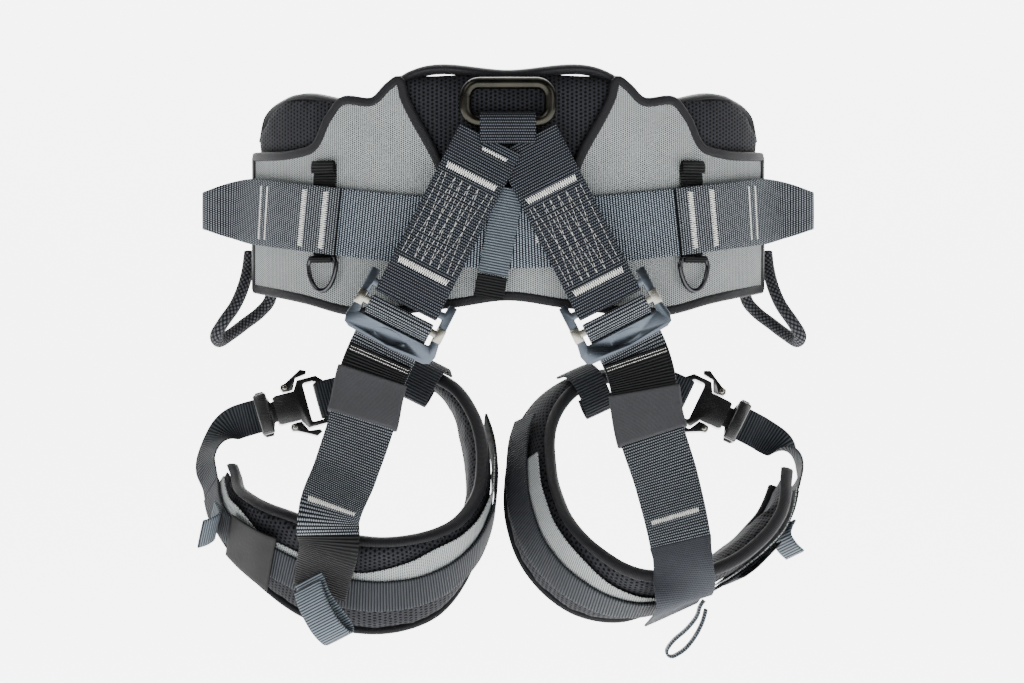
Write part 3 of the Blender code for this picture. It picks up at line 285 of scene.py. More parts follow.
WHITE_THREAD = Finish("white_thread", None, Pattern.THREAD, (0.4275, 0.4275, 0.399), (0.7885, 0.7885, 0.7505),
                      pitch=(0.5 * MM, 0.5 * MM), relief=0.05 * MM, rough=0.6)
GREY_THREAD = Finish("grey_thread", None, Pattern.THREAD, (0.144, 0.144, 0.1395), (0.378, 0.378, 0.36),
                     pitch=(0.5 * MM, 0.5 * MM), relief=0.05 * MM, rough=0.7)
DARK_THREAD = Finish("dark_thread", None, Pattern.THREAD, (0.004, 0.004, 0.005), (0.02, 0.02, 0.022),
                     pitch=(0.5 * MM, 0.5 * MM), relief=0.05 * MM, rough=0.6)
PAPER = Finish("studio_floor", None, Pattern.PLAIN, (0.86, 0.86, 0.86), (0.88, 0.88, 0.88), rough=0.9,
               glow=4.5)


# Node building ---------------------------------------------------------------------------------
class Graph:
    """A node tree that is being built."""

    def __init__(self, tree: bpy.types.NodeTree) -> None:
        """Start from an empty tree."""
        self.tree = tree
        tree.nodes.clear()

    def add(self, kind: str, settings: Optional[dict] = None,
            sockets: Optional[dict] = None) -> bpy.types.Node:
        """Add one node.

        Args:
            kind: The node's type name.
            settings: Properties to set on it.
            sockets: Values or links for its inputs, by name or number.

        Returns:
            The new node.
        """
        node = self.tree.nodes.new(kind)
        for key, value in (settings or {}).items():
            setattr(node, key, value)
        for key, value in (sockets or {}).items():
            self.feed(node.inputs[key], value)
        return node

    def feed(self, socket: bpy.types.NodeSocket, value: object) -> None:
        """Link or set one input."""
        if isinstance(value, Number):
            self.tree.links.new(value.socket, socket)
        elif isinstance(value, bpy.types.NodeSocket):
            self.tree.links.new(value, socket)
        else:
            socket.default_value = value

    def number(self, socket: bpy.types.NodeSocket) -> "Number":
        """Wrap an output so that arithmetic works on it."""
        return Number(self, socket)


class Number:
    """A value that varies over a surface, with arithmetic that adds maths nodes."""

    def __init__(self, graph: Graph, socket: bpy.types.NodeSocket) -> None:
        """Hold a graph and one of its outputs."""
        self.graph = graph
        self.socket = socket

    def math(self, operation: str, *others: object) -> "Number":
        """Apply a maths node to this value and the others."""
        sockets = dict(enumerate((self, *others)))
        node = self.graph.add("ShaderNodeMath", {"operation": operation}, sockets)
        return Number(self.graph, node.outputs[0])

    def flipped(self, operation: str, other: float) -> "Number":
        """Apply a maths node with a plain number first."""
        node = self.graph.add("ShaderNodeMath", {"operation": operation}, {0: other, 1: self})
        return Number(self.graph, node.outputs[0])

    def __add__(self, other: object) -> "Number":
        return self.math("ADD", other)

    __radd__ = __add__

    def __sub__(self, other: object) -> "Number":
        return self.math("SUBTRACT", other)

    def __rsub__(self, other: float) -> "Number":
        return self.flipped("SUBTRACT", other)

    def __mul__(self, other: object) -> "Number":
        return self.math("MULTIPLY", other)

    __rmul__ = __mul__

    def __truediv__(self, other: object) -> "Number":
        return self.math("DIVIDE", other)

    def __rtruediv__(self, other: float) -> "Number":
        return self.flipped("DIVIDE", other)

    def step(self, low: float, high: float) -> "Number":
        """Rise smoothly from 0 at low to 1 at high."""
        node = self.graph.add("ShaderNodeMapRange", {"interpolation_type": "SMOOTHSTEP"},
                              {"Value": self, "From Min": low, "From Max": high})
        return Number(self.graph, node.outputs["Result"])


@dataclass
class Surface:
    """What a pattern gives: how light its colour is, its height and its roughness change."""

    shade: Number
    height: Number
    rough: Number


class Painter:
    """Makes each finish's material once."""

    def __init__(self) -> None:
        """Begin with no materials."""
        self.made: dict[str, bpy.types.Material] = {}

    def material(self, finish: Finish) -> bpy.types.Material:
        """The material for a finish.

        Args:
            finish: What to paint.

        Returns:
            A node material that reads the piece's own UV map or Object coordinates.
        """
        if finish.name in self.made:
            return self.made[finish.name]
        material = bpy.data.materials.new(finish.name)
        material.use_nodes = True
        graph = Graph(material.node_tree)
        surface = self.surface(graph, finish)
        colour = graph.add("ShaderNodeMix", {"data_type": "RGBA"},
                           {"Factor": surface.shade, 6: (*finish.dark, 1), 7: (*finish.light, 1)})
        bump = graph.add("ShaderNodeBump", None, {"Height": surface.height, "Distance": finish.relief})
        shader = graph.add("ShaderNodeBsdfPrincipled", None, {
            "Base Color": colour.outputs[2], "Roughness": surface.rough, "Normal": bump.outputs[0],
            "Metallic": finish.metallic, "Sheen Weight": finish.sheen, "Coat Weight": finish.coat,
            "Coat Roughness": COAT_ROUGHNESS, "Sheen Roughness": SHEEN_ROUGHNESS,
            "Specular IOR Level": METAL_SPECULAR if finish.pattern is Pattern.METAL else CLOTH_SPECULAR,
            "Emission Color": (1, 1, 1, 1), "Emission Strength": finish.glow})
        graph.add("ShaderNodeOutputMaterial", None, {"Surface": shader.outputs[0]})
        self.made[finish.name] = material
        LOG.info("material %s", finish.name)
        return material

    def surface(self, graph: Graph, finish: Finish) -> Surface:
        """Build a finish's pattern.

        Args:
            graph: The material's tree.
            finish: Which pattern, at which pitch.

        Returns:
            Its shade, height and roughness.
        """
        place = graph.add("ShaderNodeTexCoord")
        flat = graph.add("ShaderNodeSeparateXYZ", None, {0: place.outputs["UV"]})
        along = graph.number(flat.outputs[0])
        across = graph.number(flat.outputs[1])
        cloud = self.noise(graph, place.outputs["Object"], 1 / (28 * MM), 3)
        grain = self.noise(graph, place.outputs["Object"], 1 / (0.9 * MM), 2)
        a, b = along / finish.pitch[0], across / finish.pitch[1]
        if finish.pattern is Pattern.PLAIN:
            return Surface(cloud, cloud * 0.0, cloud * 0.05 + finish.rough)
        if finish.pattern is Pattern.METAL:
            stretched = graph.add("ShaderNodeVectorMath", {"operation": "MULTIPLY"},
                                  {0: place.outputs["Object"], 1: (1 / finish.pitch[1],
                                  1 / finish.pitch[1], 1 / finish.pitch[0])})
            lines = self.noise(graph, stretched.outputs[0], 1.0, 4)
            worn = (cloud - 0.35).step(0.0, 0.4)
            return Surface(lines * 0.5 + worn * 0.5, lines * 0.6 + grain * 0.4,
                           lines * 0.12 + worn * 0.08 + (finish.rough - 0.1))
        if finish.pattern is Pattern.SMOOTH:
            pore = self.noise(graph, place.outputs["Object"], 1 / finish.pitch[0], 3)
            return Surface(cloud * 0.5 + pore * 0.5, pore + grain * 0.3, cloud * 0.2 + (finish.rough - 0.1))
        if finish.pattern is Pattern.THREAD:
            return Surface(grain.step(0.25, 0.7), grain, grain * 0.1 + finish.rough)
        dots = self.lattice(a, b)
        rib = (a * math.tau).math("COSINE") * -0.5 + 0.5
        soft = grain * 0.35 + cloud * 0.5 + 0.45
        if finish.pattern is Pattern.RIBBED:
            weave = rib * 0.75 + dots * 0.25
            return Surface(weave * soft, rib + grain * 0.25, 1 - weave * 0.2 - (1 - finish.rough))
        if finish.pattern is Pattern.TWILL:
            return Surface((1 - dots * 0.95) * (grain * 0.6 + cloud * 0.25 + 0.42), 1 - dots,
                           dots * 0.1 + finish.rough)
        if finish.pattern is Pattern.MESH:
            yarn = 1 - dots.step(0.25, 0.75)
            fibre = grain * 0.6 + 0.55
            return Surface(yarn * fibre * (cloud * 0.6 + 0.6), yarn + grain * 0.15,
                           1 - yarn * (1 - finish.rough))
        if finish.pattern is Pattern.BRAID:
            dots = self.lattice(a + b, a - b)
            strand = (((a + b) * math.pi).math("SINE").math("ABSOLUTE")
                      * ((a - b) * math.pi).math("SINE").math("ABSOLUTE"))
            return Surface(strand.step(0.15, 0.8) * soft * 0.6 + dots * 0.3 * grain, strand,
                           1 - strand * 0.25)
        if finish.pattern is Pattern.ELASTIC:
            return Surface(rib * 0.3 + grain * 0.5 + cloud * 0.2, rib + grain * 0.5,
                           cloud * 0.1 + finish.rough)
        return Surface(dots.step(0.1, 0.8) * soft * (rib * 0.75 + 0.3) * 1.25, rib * 0.7 + dots * 0.3,
                       1 - dots * (1 - finish.rough) * 1.5)

    @staticmethod
    def lattice(a: Number, b: Number) -> Number:
        """Round dots on staggered rows.

        Args:
            a: Distance along, in rows.
            b: Distance across, in dots.

        Returns:
            1 at the middle of a dot and 0 between dots.
        """
        odd = a.math("FLOOR").math("MODULO", 2.0) * 0.5
        down = a.math("FRACT") - 0.5
        over = (b + odd).math("FRACT") - 0.5
        reach = (down * down + over * over * 0.9).math("SQRT")
        return 1 - reach.step(0.16, 0.46)

    @staticmethod
    def noise(graph: Graph, vector: bpy.types.NodeSocket, scale: float, detail: float) -> Number:
        """Smooth noise of a given scale."""
        node = graph.add("ShaderNodeTexNoise", None, {"Vector": vector, "Scale": scale, "Detail": detail})
        return graph.number(node.outputs[0])


# Courses and lofts -----------------------------------------------------------------------------
def travelled(points: np.ndarray) -> np.ndarray:
    """Distance along a line of points, at each of them."""
    return np.concatenate([[0], np.cumsum(np.linalg.norm(np.diff(points, axis=0), axis=1))])


def hermite(keys: Sequence, count: int) -> np.ndarray:
    """Read a smooth curve through rows of numbers.

    Args:
        keys: Rows that begin with x, y and z.
        count: How many rows to return, evenly spaced along the curve.

    Returns:
        The rows, as an array of count rows.
    """
    rows = np.array(keys, dtype=float)
    along = travelled(rows[:, :3])
    slopes = np.gradient(rows, along, axis=0)
    places = np.linspace(0, 1, count) * along[-1]
    piece = np.clip(np.searchsorted(along, places, side="right") - 1, 0, len(along) - 2)
    span = (along[piece + 1] - along[piece])[:, None]
    t = ((places - along[piece])[:, None]) / span
    first = (2 * t**3 - 3 * t**2 + 1) * rows[piece] + (t**3 - 2 * t**2 + t) * span * slopes[piece]
    second = (3 * t**2 - 2 * t**3) * rows[piece + 1] + (t**3 - t**2) * span * slopes[piece + 1]
    return first + second


def unit(vectors: np.ndarray) -> np.ndarray:
    """Scale each row to length 1."""
    return vectors / np.maximum(np.linalg.norm(vectors, axis=1), 1e-12)[:, None]


def meshed(name: str, mesh: bmesh.types.BMesh, smooth: bool = True) -> bpy.types.Mesh:
    """Turn a finished bmesh into mesh data, and free it."""
    data = bpy.data.meshes.new(name)
    mesh.to_mesh(data)
    mesh.free()
    if smooth:
        data.shade_smooth()
    return data


def linked(name: str, data: bpy.types.ID) -> bpy.types.Object:
    """A new object in the scene."""
    made = bpy.data.objects.new(name, data)
    bpy.context.scene.collection.objects.link(made)
    return made


@dataclass
class Course:
    """The line that a strap follows.

    Args:
        points: Centre points, one row each.
        across: Directions across the strap.
        half: Half the strap's width at each point.
        face: 1 or -1, the side that shows.
    """

    points: np.ndarray
    across: np.ndarray
    half: np.ndarray
    face: int = 1

    @classmethod
    def along_keys(cls, keys: Sequence, width: float, count: int = 24,
                   end_width: Optional[float] = None) -> "Course":
        """A course through keys of x, y, z and the outward direction."""
        path = hermite(keys, count)
        points = path[:, :3]
        tangents = unit(np.gradient(points, axis=0))
        normals = path[:, 3:6]
        square = unit(normals - (normals * tangents).sum(axis=1)[:, None] * tangents)
        last = width if end_width is None else end_width
        return cls(points, np.cross(tangents, square), np.linspace(width, last, count) / 2)

    @classmethod
    def in_frame(cls, matrix: Matrix, profile: Sequence, width: float, count: int) -> "Course":
        """A course whose side profile of (down, out) lies in a frame's Y-Z plane."""
        path = hermite([(0, -down, out) for down, out in profile], count)
        points = np.array([matrix @ Vector(p) for p in path])
        across = np.tile(np.array(matrix.to_3x3() @ Vector((1, 0, 0))), (count, 1))
        return cls(points, across, np.full(count, width / 2), -1)

    @property
    def tangents(self) -> np.ndarray:
        """Directions along the course."""
        return unit(np.gradient(self.points, axis=0))

    @property
    def normals(self) -> np.ndarray:
        """Directions out of the side that shows."""
        return unit(np.cross(self.across, self.tangents)) * self.face

    @property
    def arc(self) -> np.ndarray:
        """Distance along the course at each point."""
        return travelled(self.points)

    def fine(self, step: float) -> "Course":
        """The same course with points about step apart."""
        count = max(3, int(self.arc[-1] / step) + 1)
        rows = hermite(np.column_stack([self.points, self.across, self.half]), count)
        return Course(rows[:, :3], unit(rows[:, 3:6]), rows[:, 6], self.face)

    def part(self, start: float, end: float) -> "Course":
        """The stretch between two distances along the course."""
        keep = (self.arc >= start - 1e-9) & (self.arc <= end + 1e-9)
        return Course(self.points[keep], self.across[keep], self.half[keep], self.face)

    def spot(self, along: float, across: float, lift: float = 0.0) -> tuple[np.ndarray, np.ndarray]:
        """A point over the course's face and the way out of it."""
        arc = self.arc
        point = np.array([np.interp(along, arc, self.points[:, i]) for i in range(3)])
        side = np.array([np.interp(along, arc, self.across[:, i]) for i in range(3)])
        out = np.array([np.interp(along, arc, self.normals[:, i]) for i in range(3)])
        return point + side * across + out * lift, out

    def shifted(self, across: float, lift: float, width: float) -> "Course":
        """A narrower course beside this one."""
        points = self.points + self.across * across + self.normals * lift
        return Course(points, self.across, np.full(len(points), width / 2), self.face)


def rounded_section(half: float, thickness: float, columns: int = 10, turn: int = 4) -> list[tuple[float,
        float]]:
    """Points round a strap's cross-section with round selvedges."""
    edge = min(thickness / 2, half * 0.9)
    flat = half - edge
    points = [(x, thickness / 2) for x in np.linspace(-flat, flat, columns)]
    for i in range(1, turn):
        angle = math.pi / 2 - math.pi * i / turn
        points.append((flat + edge * math.cos(angle), thickness / 2 * math.sin(angle)))
    points += [(x, -thickness / 2) for x in np.linspace(flat, -flat, columns)]
    for i in range(1, turn):
        angle = -math.pi / 2 - math.pi * i / turn
        points.append((-flat + edge * math.cos(angle), thickness / 2 * math.sin(angle)))
    return points


def loft(name: str, sections: np.ndarray, uvs: np.ndarray, closed: bool = False) -> bpy.types.Mesh:
    """Join rings of points into a closed skin.

    Args:
        name: The mesh's name.
        sections: Stations by ring points by xyz.
        uvs: Stations by ring points by two, in metres.
        closed: Whether the last station joins the first.

    Returns:
        The mesh, with its UV map.
    """
    mesh = bmesh.new()
    layer = mesh.loops.layers.uv.new("UVMap")
    rings = [[mesh.verts.new(point) for point in ring] for ring in sections]
    count, size = len(rings), len(rings[0])
    for i in range(count if closed else count - 1):
        k = (i + 1) % count
        for j in range(size):
            n = (j + 1) % size
            face = mesh.faces.new((rings[i][j], rings[i][n], rings[k][n], rings[k][j]))
            for loop, (row, column) in zip(face.loops, ((i, j), (i, n), (k, n), (k, j))):
                loop[layer].uv = uvs[row][column]
    if not closed:
        for ring, i in ((rings[0], 0), (rings[-1], count - 1)):
            face = mesh.faces.new(ring)
            for loop, j in zip(face.loops, range(size)):
                loop[layer].uv = uvs[i][j]
    bmesh.ops.recalc_face_normals(mesh, faces=mesh.faces)
    return meshed(name, mesh)


def ribbon(name: str, course: Course, thickness: float, step: float = FINE_STEP,
           ripple: float = 0.12 * MM, columns: int = 10) -> bpy.types.Mesh:
    """Webbing along a course, with round edges and a slight unevenness."""
    line = course.fine(step)
    arc, normals = line.arc, line.normals
    sections, uvs = [], []
    for i in range(len(arc)):
        ring = rounded_section(line.half[i], thickness, columns)
        wobble = ripple * math.sin(arc[i] / (7.3 * MM)) * math.cos(arc[i] / (11.9 * MM) + 1.3)
        sections.append([line.points[i] + line.across[i] * x
                         + normals[i] * (y + wobble - 0.1 * MM * (x / line.half[i]) ** 2)
                         for x, y in ring])
        uvs.append([(arc[i], x) for x, _ in ring])
    return loft(name, np.array(sections), np.array(uvs))


def round_tube(name: str, points: np.ndarray, radius: float, closed: bool, sides: int = 20) -> bpy.types.Mesh:
    """A round bar through points, turned without twist."""
    tangents = unit(np.gradient(points, axis=0))
    if closed:
        tangents = unit(np.roll(points, -1, axis=0) - np.roll(points, 1, axis=0))
    side = np.cross(tangents[0], (0.31, 0.95, 0.11))
    arc = travelled(points)
    sections, uvs = [], []
    for i, tangent in enumerate(tangents):
        side = side - np.dot(side, tangent) * tangent
        side = side / np.linalg.norm(side)
        other = np.cross(tangent, side)
        angles = np.linspace(0, math.tau, sides, endpoint=False)
        sections.append([points[i] + radius * (math.cos(a) * side + math.sin(a) * other) for a in angles])
        uvs.append([(arc[i], a * radius) for a in angles])
    return loft(name, np.array(sections), np.array(uvs), closed)


def cad_mesh(node: str) -> bpy.types.Mesh:
    """A welded copy of a CAD node's mesh."""
    mesh = bmesh.new()
    mesh.from_mesh(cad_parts[node].data)
    bmesh.ops.remove_doubles(mesh, verts=mesh.verts, dist=0.01 * MM)
    bmesh.ops.dissolve_limit(mesh, angle_limit=math.radians(1), verts=mesh.verts, edges=mesh.edges)
    bmesh.ops.recalc_face_normals(mesh, faces=mesh.faces)
    return meshed(node + "_copy", mesh, smooth=False)


# The workshop ----------------------------------------------------------------------------------
@dataclass
class Bend:
    """Where a piece crosses a joint between two bodies, from start to end."""

    parent: str
    child: str
    start: np.ndarray
    end: np.ndarray


@dataclass
class Workshop:
    """Turns meshes into finished pieces that ride on the frame.

    Args:
        painter: Where the materials come from.
        stitches: The stitches sewn so far, by body and finish.
    """

    painter: Painter
    stitches: dict = field(default_factory=dict)

    def thing(self, name: str, data: bpy.types.ID, finish: Finish) -> bpy.types.Object:
        """An object with its finish, at the origin."""
        made = linked(name, data)
        data.materials.clear()
        data.materials.append(self.painter.material(finish))
        return made

    def piece(self, name: str, data: bpy.types.ID, finish: Finish, body: Optional[str] = None,
              nodes: Sequence[str] = (), bend: Optional[Bend] = None) -> bpy.types.Object:
        """Add one finished piece.

        Args:
            name: The piece's name.
            data: Its mesh.
            finish: What it is made of.
            body: The body that it rides on.
            nodes: The CAD nodes that it stands for.
            bend: Given in place of a body where the piece crosses a joint.

        Returns:
            The object.
        """
        made = self.thing(name, data, finish)
        if bend is not None:
            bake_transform(made)
        else:
            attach(made, body)
        if nodes:
            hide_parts(*nodes)
        LOG.info("piece %s, %s", name, body or "bends")
        return made

    def hard(self, node: str, finish: Finish, body: str, edge: float, segments: int = 3,
             dish: Optional[Matrix] = None) -> bpy.types.Object:
        """A machined piece: the CAD shape with rounded edges, and a round dish pressed in if one is given."""
        work = self.thing(node + "_work", cad_mesh(node), finish)
        bevel = work.modifiers.new("edge", "BEVEL")
        bevel.width = edge
        bevel.segments = segments
        bevel.limit_method = "ANGLE"
        bevel.angle_limit = math.radians(28)
        bevel.use_clamp_overlap = True
        if dish is not None:
            mesh = bmesh.new()
            bmesh.ops.create_uvsphere(mesh, u_segments=48, v_segments=24, radius=1, matrix=dish)
            press = work.modifiers.new("dish", "BOOLEAN")
            press.operation = "DIFFERENCE"
            press.object = ball = self.thing("dish_work", meshed("dish", mesh, smooth=False), finish)
        data = self.applied(work)
        if dish is not None:
            bpy.data.objects.remove(ball, do_unlink=True)
        data.shade_smooth()
        made = self.piece(node + "_metal", data, finish, body, [node])
        data.set_sharp_from_angle(angle=math.radians(40))
        return made

    @staticmethod
    def applied(work: bpy.types.Object) -> bpy.types.Mesh:
        """The plain mesh that an object's modifiers give; the object is removed."""
        graph = bpy.context.evaluated_depsgraph_get()
        graph.update()
        data = bpy.data.meshes.new_from_object(work.evaluated_get(graph), preserve_all_data_layers=True,
                                               depsgraph=graph)
        data.name = work.name + "_plain"
        bpy.data.objects.remove(work, do_unlink=True)
        return data

    def block(self, name: str, matrix: Matrix, size: Sequence[float], finish: Finish, body: str,
              edge: float) -> None:
        """A small block with round edges."""
        mesh = bmesh.new()
        bmesh.ops.create_cube(mesh, size=1, matrix=matrix @ Matrix.Diagonal((*size, 1)))
        bmesh.ops.bevel(mesh, geom=mesh.edges[:], offset=edge, segments=4, profile=0.5, affect="EDGES")
        self.piece(name, meshed(name, mesh), finish, body)

    def pin(self, name: str, matrix: Matrix, radius: float, depth: float, finish: Finish, body: str) -> None:
        """A round rivet with a domed head at each end."""
        levels = ((0, 0.0), (0.55, 0.0), (0.86, 0.12), (1.0, 0.4), (1.0, 0.5))
        profile = [(r * radius, -depth / 2 + z * 0.9 * MM) for r, z in levels[1:]]
        profile += [(r, -z) for r, z in reversed(profile)]
        rings = [[matrix @ Vector((r * math.cos(a), r * math.sin(a), z)) for a in np.linspace(0, math.tau,
                20, endpoint=False)]
                 for r, z in profile]
        flat = np.zeros((len(rings), 20, 2))
        self.piece(name, loft(name, np.array(rings), flat), finish, body)

    def sew(self, body: str, finish: Finish, ends: Sequence[tuple[np.ndarray, np.ndarray,
            np.ndarray]]) -> None:
        """Remember stitches, each as its two ends and the way out of the cloth."""
        self.stitches.setdefault((body, finish), []).extend(ends)


@dataclass
class Seamstress:
    """Sews stitch patterns on courses and makes them with one Geometry Nodes group.

    Args:
        workshop: Where the pieces go.
    """

    workshop: Workshop

    def run(self, course: Course, body: str, path: Sequence[tuple[float, float]], lift: float,
            finish: Finish = WHITE_THREAD, stitch: float = 2.9 * MM, gap: float = 1.3 * MM) -> None:
        """Dashes along a path of (along, across) on a course."""
        ends = []
        for (a0, c0), (a1, c1) in zip(path, path[1:]):
            length = math.hypot(a1 - a0, c1 - c0)
            count = max(1, round(length / (stitch + gap)))
            for i in range(count):
                first, last = (i + 0.1) / count, (i + 0.1 + stitch / (stitch + gap)) / count
                p, out = course.spot(a0 + (a1 - a0) * first, c0 + (c1 - c0) * first, lift)
                q, _ = course.spot(a0 + (a1 - a0) * min(last, 1), c0 + (c1 - c0) * min(last, 1), lift)
                ends.append((p, q, out))
        self.workshop.sew(body, finish, ends)

    def tack(self, course: Course, body: str, along: float, low: float, high: float, lift: float,
             reach: float = 2.1 * MM, pitch: float = 1.5 * MM, finish: Finish = WHITE_THREAD) -> None:
        """A bar tack: a close zigzag across a course."""
        count = max(2, round((high - low) / pitch) * 2)
        marks = []
        for i in range(count + 1):
            sign = 1 if i % 2 else -1
            marks.append(course.spot(along + sign * reach, low + (high - low) * i / count, lift))
        ends = [(p, q, out) for (p, out), (q, _) in zip(marks, marks[1:])]
        self.workshop.sew(body, finish, ends)

    def finish(self) -> None:
        """Make every stitch sewn so far."""
        group = self.group()
        for (body, finish), ends in self.workshop.stitches.items():
            first, last, out = (np.array(v) for v in zip(*ends))
            cloud = bpy.data.meshes.new("stitch_points")
            cloud.vertices.add(len(first))
            cloud.vertices.foreach_set("co", ((first + last) / 2).ravel())
            for key, values in (("run", last - first), ("out", out)):
                cloud.attributes.new(key, "FLOAT_VECTOR", "POINT").data.foreach_set("vector", values.ravel())
            work = self.workshop.thing("stitch_work", cloud, finish)
            modifier = work.modifiers.new("stitches", "NODES")
            modifier.node_group = group
            wanted = {"Radius": THREAD, "Arch": 0.25 * MM, "Seed": 7,
                      "Material": self.workshop.painter.material(finish)}
            for item in group.interface.items_tree:
                if item.name in wanted:
                    modifier[item.identifier] = wanted[item.name]
            data = self.workshop.applied(work)
            self.workshop.piece(f"{finish.name}_{body}", data, finish, body)

    @staticmethod
    def group() -> bpy.types.NodeTree:
        """The node group that lays one thread over each point."""
        tree = bpy.data.node_groups.new("stitches", "GeometryNodeTree")
        for name, kind in (("Geometry", "Geometry"), ("Radius", "Float"), ("Arch", "Float"), ("Seed", "Int"),
                           ("Material", "Material")):
            tree.interface.new_socket(name, in_out="INPUT", socket_type="NodeSocket" + kind)
        tree.interface.new_socket("Geometry", in_out="OUTPUT", socket_type="NodeSocketGeometry")
        graph = Graph(tree)
        given = graph.add("NodeGroupInput").outputs
        run = graph.add("GeometryNodeInputNamedAttribute", {"data_type": "FLOAT_VECTOR"},
                        {"Name": "run"}).outputs[0]
        out = graph.add("GeometryNodeInputNamedAttribute", {"data_type": "FLOAT_VECTOR"},
                        {"Name": "out"}).outputs[0]
        line = graph.add("GeometryNodeCurvePrimitiveLine", None, {"Start": (-0.5, 0, 0), "End": (0.5, 0, 0)})
        bits = graph.add("GeometryNodeResampleCurve", None, {"Curve": line.outputs[0], "Count": 7})
        where = graph.add("GeometryNodeInputPosition").outputs[0]
        x = graph.number(graph.add("ShaderNodeSeparateXYZ", None, {0: where}).outputs[0])
        rise = (1 - x * x * 4) * graph.number(given["Arch"])
        lift = graph.add("ShaderNodeCombineXYZ", None, {"Z": rise})
        bowed = graph.add("GeometryNodeSetPosition", None, {"Geometry": bits.outputs[0],
                                                            "Offset": lift.outputs[0]})
        ring = graph.add("GeometryNodeCurvePrimitiveCircle", None, {"Resolution": 6,
                "Radius": given["Radius"]})
        thread = graph.add("GeometryNodeCurveToMesh", None,
                           {"Curve": bowed.outputs[0], "Profile Curve": ring.outputs[0], "Fill Caps": True})
        turn = graph.add("FunctionNodeAxesToRotation", {"primary_axis": "X", "secondary_axis": "Z"},
                         {0: run, 1: out})
        length = graph.add("ShaderNodeVectorMath", {"operation": "LENGTH"}, {0: run})
        vary = graph.add("FunctionNodeRandomValue", {"data_type": "FLOAT"}, {2: 0.85, 3: 1.15,
                "Seed": given["Seed"]})
        size = graph.add("ShaderNodeCombineXYZ", None,
                         {"X": length.outputs["Value"], "Y": vary.outputs[1], "Z": vary.outputs[1]})
        laid = graph.add("GeometryNodeInstanceOnPoints", None, {
            "Points": given["Geometry"], "Instance": thread.outputs[0], "Rotation": turn.outputs[0],
            "Scale": size.outputs[0]})
        real = graph.add("GeometryNodeRealizeInstances", None, {"Geometry": laid.outputs[0]})
        painted = graph.add("GeometryNodeSetMaterial", None, {"Geometry": real.outputs[0],
                "Material": given["Material"]})
        graph.add("NodeGroupOutput", None, {"Geometry": painted.outputs[0]})
        return tree


# Soft padding ----------------------------------------------------------------------------------
def inflate(work: bpy.types.Object, cap: Callable[[np.ndarray], np.ndarray]) -> bpy.types.Mesh:
    """Swell a closed shape as stuffed cloth does.

    Args:
        work: The object to swell; it is removed.
        cap: Gives how far each point may move.

    Returns:
        The swollen mesh.
    """
    remesh = work.modifiers.new("remesh", "REMESH")
    remesh.mode = "VOXEL"
    remesh.voxel_size = VOXEL
    smooth = work.modifiers.new("smooth", "SMOOTH")
    smooth.iterations = 3
    name = work.name
    even = Workshop.applied(work)
    rest = np.array([v.co for v in even.vertices])
    made = linked(name + "_cloth", even)
    cloth = made.modifiers.new("cloth", "CLOTH")
    cloth.settings.use_pressure = True
    cloth.settings.uniform_pressure_force = CLOTH_PRESSURE
    cloth.settings.effector_weights.gravity = 0
    cloth.settings.quality = 4
    cloth.settings.tension_stiffness = 20
    cloth.point_cache.frame_end = CLOTH_FRAMES
    for number in range(1, CLOTH_FRAMES + 1):
        bpy.context.scene.frame_set(number)
    even = Workshop.applied(made)
    bpy.context.scene.frame_set(1)
    moved = np.array([v.co for v in even.vertices]) - rest
    length = np.maximum(np.linalg.norm(moved, axis=1), 1e-9)
    share = np.minimum(1, cap(rest) / length)
    even.vertices.foreach_set("co", (rest + moved * share[:, None]).ravel())
    fine = linked(name + "_fine", even)
    fine.modifiers.new("fine", "SUBSURF").levels = 1
    return Workshop.applied(fine)


def unwrap(data: bpy.types.Mesh, place: Callable[[np.ndarray], np.ndarray]) -> None:
    """Give a mesh a UV map in metres from its points."""
    points = np.array([v.co for v in data.vertices])
    flat = place(points)
    layer = data.uv_layers.new(name="UVMap")
    corners = np.zeros(len(data.loops), int)
    data.loops.foreach_get("vertex_index", corners)
    layer.data.foreach_set("uv", flat[corners].ravel())


# The back --------------------------------------------------------------------------------------
def wall(x: float, depth: float, height: float) -> tuple[np.ndarray, np.ndarray]:
    """A point standing depth proud of the curved back, and the way out of the back there."""
    angle = math.asin(max(-1.0, min(1.0, x / WAIST_HALF_WIDTH)))
    out = np.array((WAIST_DEPTH * math.sin(angle), -WAIST_HALF_WIDTH * math.cos(angle), 0.0))
    out /= np.linalg.norm(out)
    return np.array((x, PAD_FACE_Y + WAIST_DEPTH * (1 - math.cos(angle)), height)) + out * depth, out


def wall_key(x: float, depth: float, height: float) -> tuple[float, ...]:
    """A course key on the curved back."""
    point, out = wall(x, depth, height)
    return (*point, *out)


def belt_height(x: float) -> float:
    """Height of the belt's centre line at a side distance."""
    return BELT_HEIGHT + BELT_RISE * (abs(x) / (0.89 * PAD_REACH)) ** 1.6


def wall_arc(x: np.ndarray) -> np.ndarray:
    """Distance round the curved back at a side distance."""
    marks = np.linspace(-WAIST_HALF_WIDTH, WAIST_HALF_WIDTH, 400)
    points = np.array([wall(m, 0, 0)[0] for m in marks])
    arc = travelled(points)
    return np.interp(x, marks, arc)


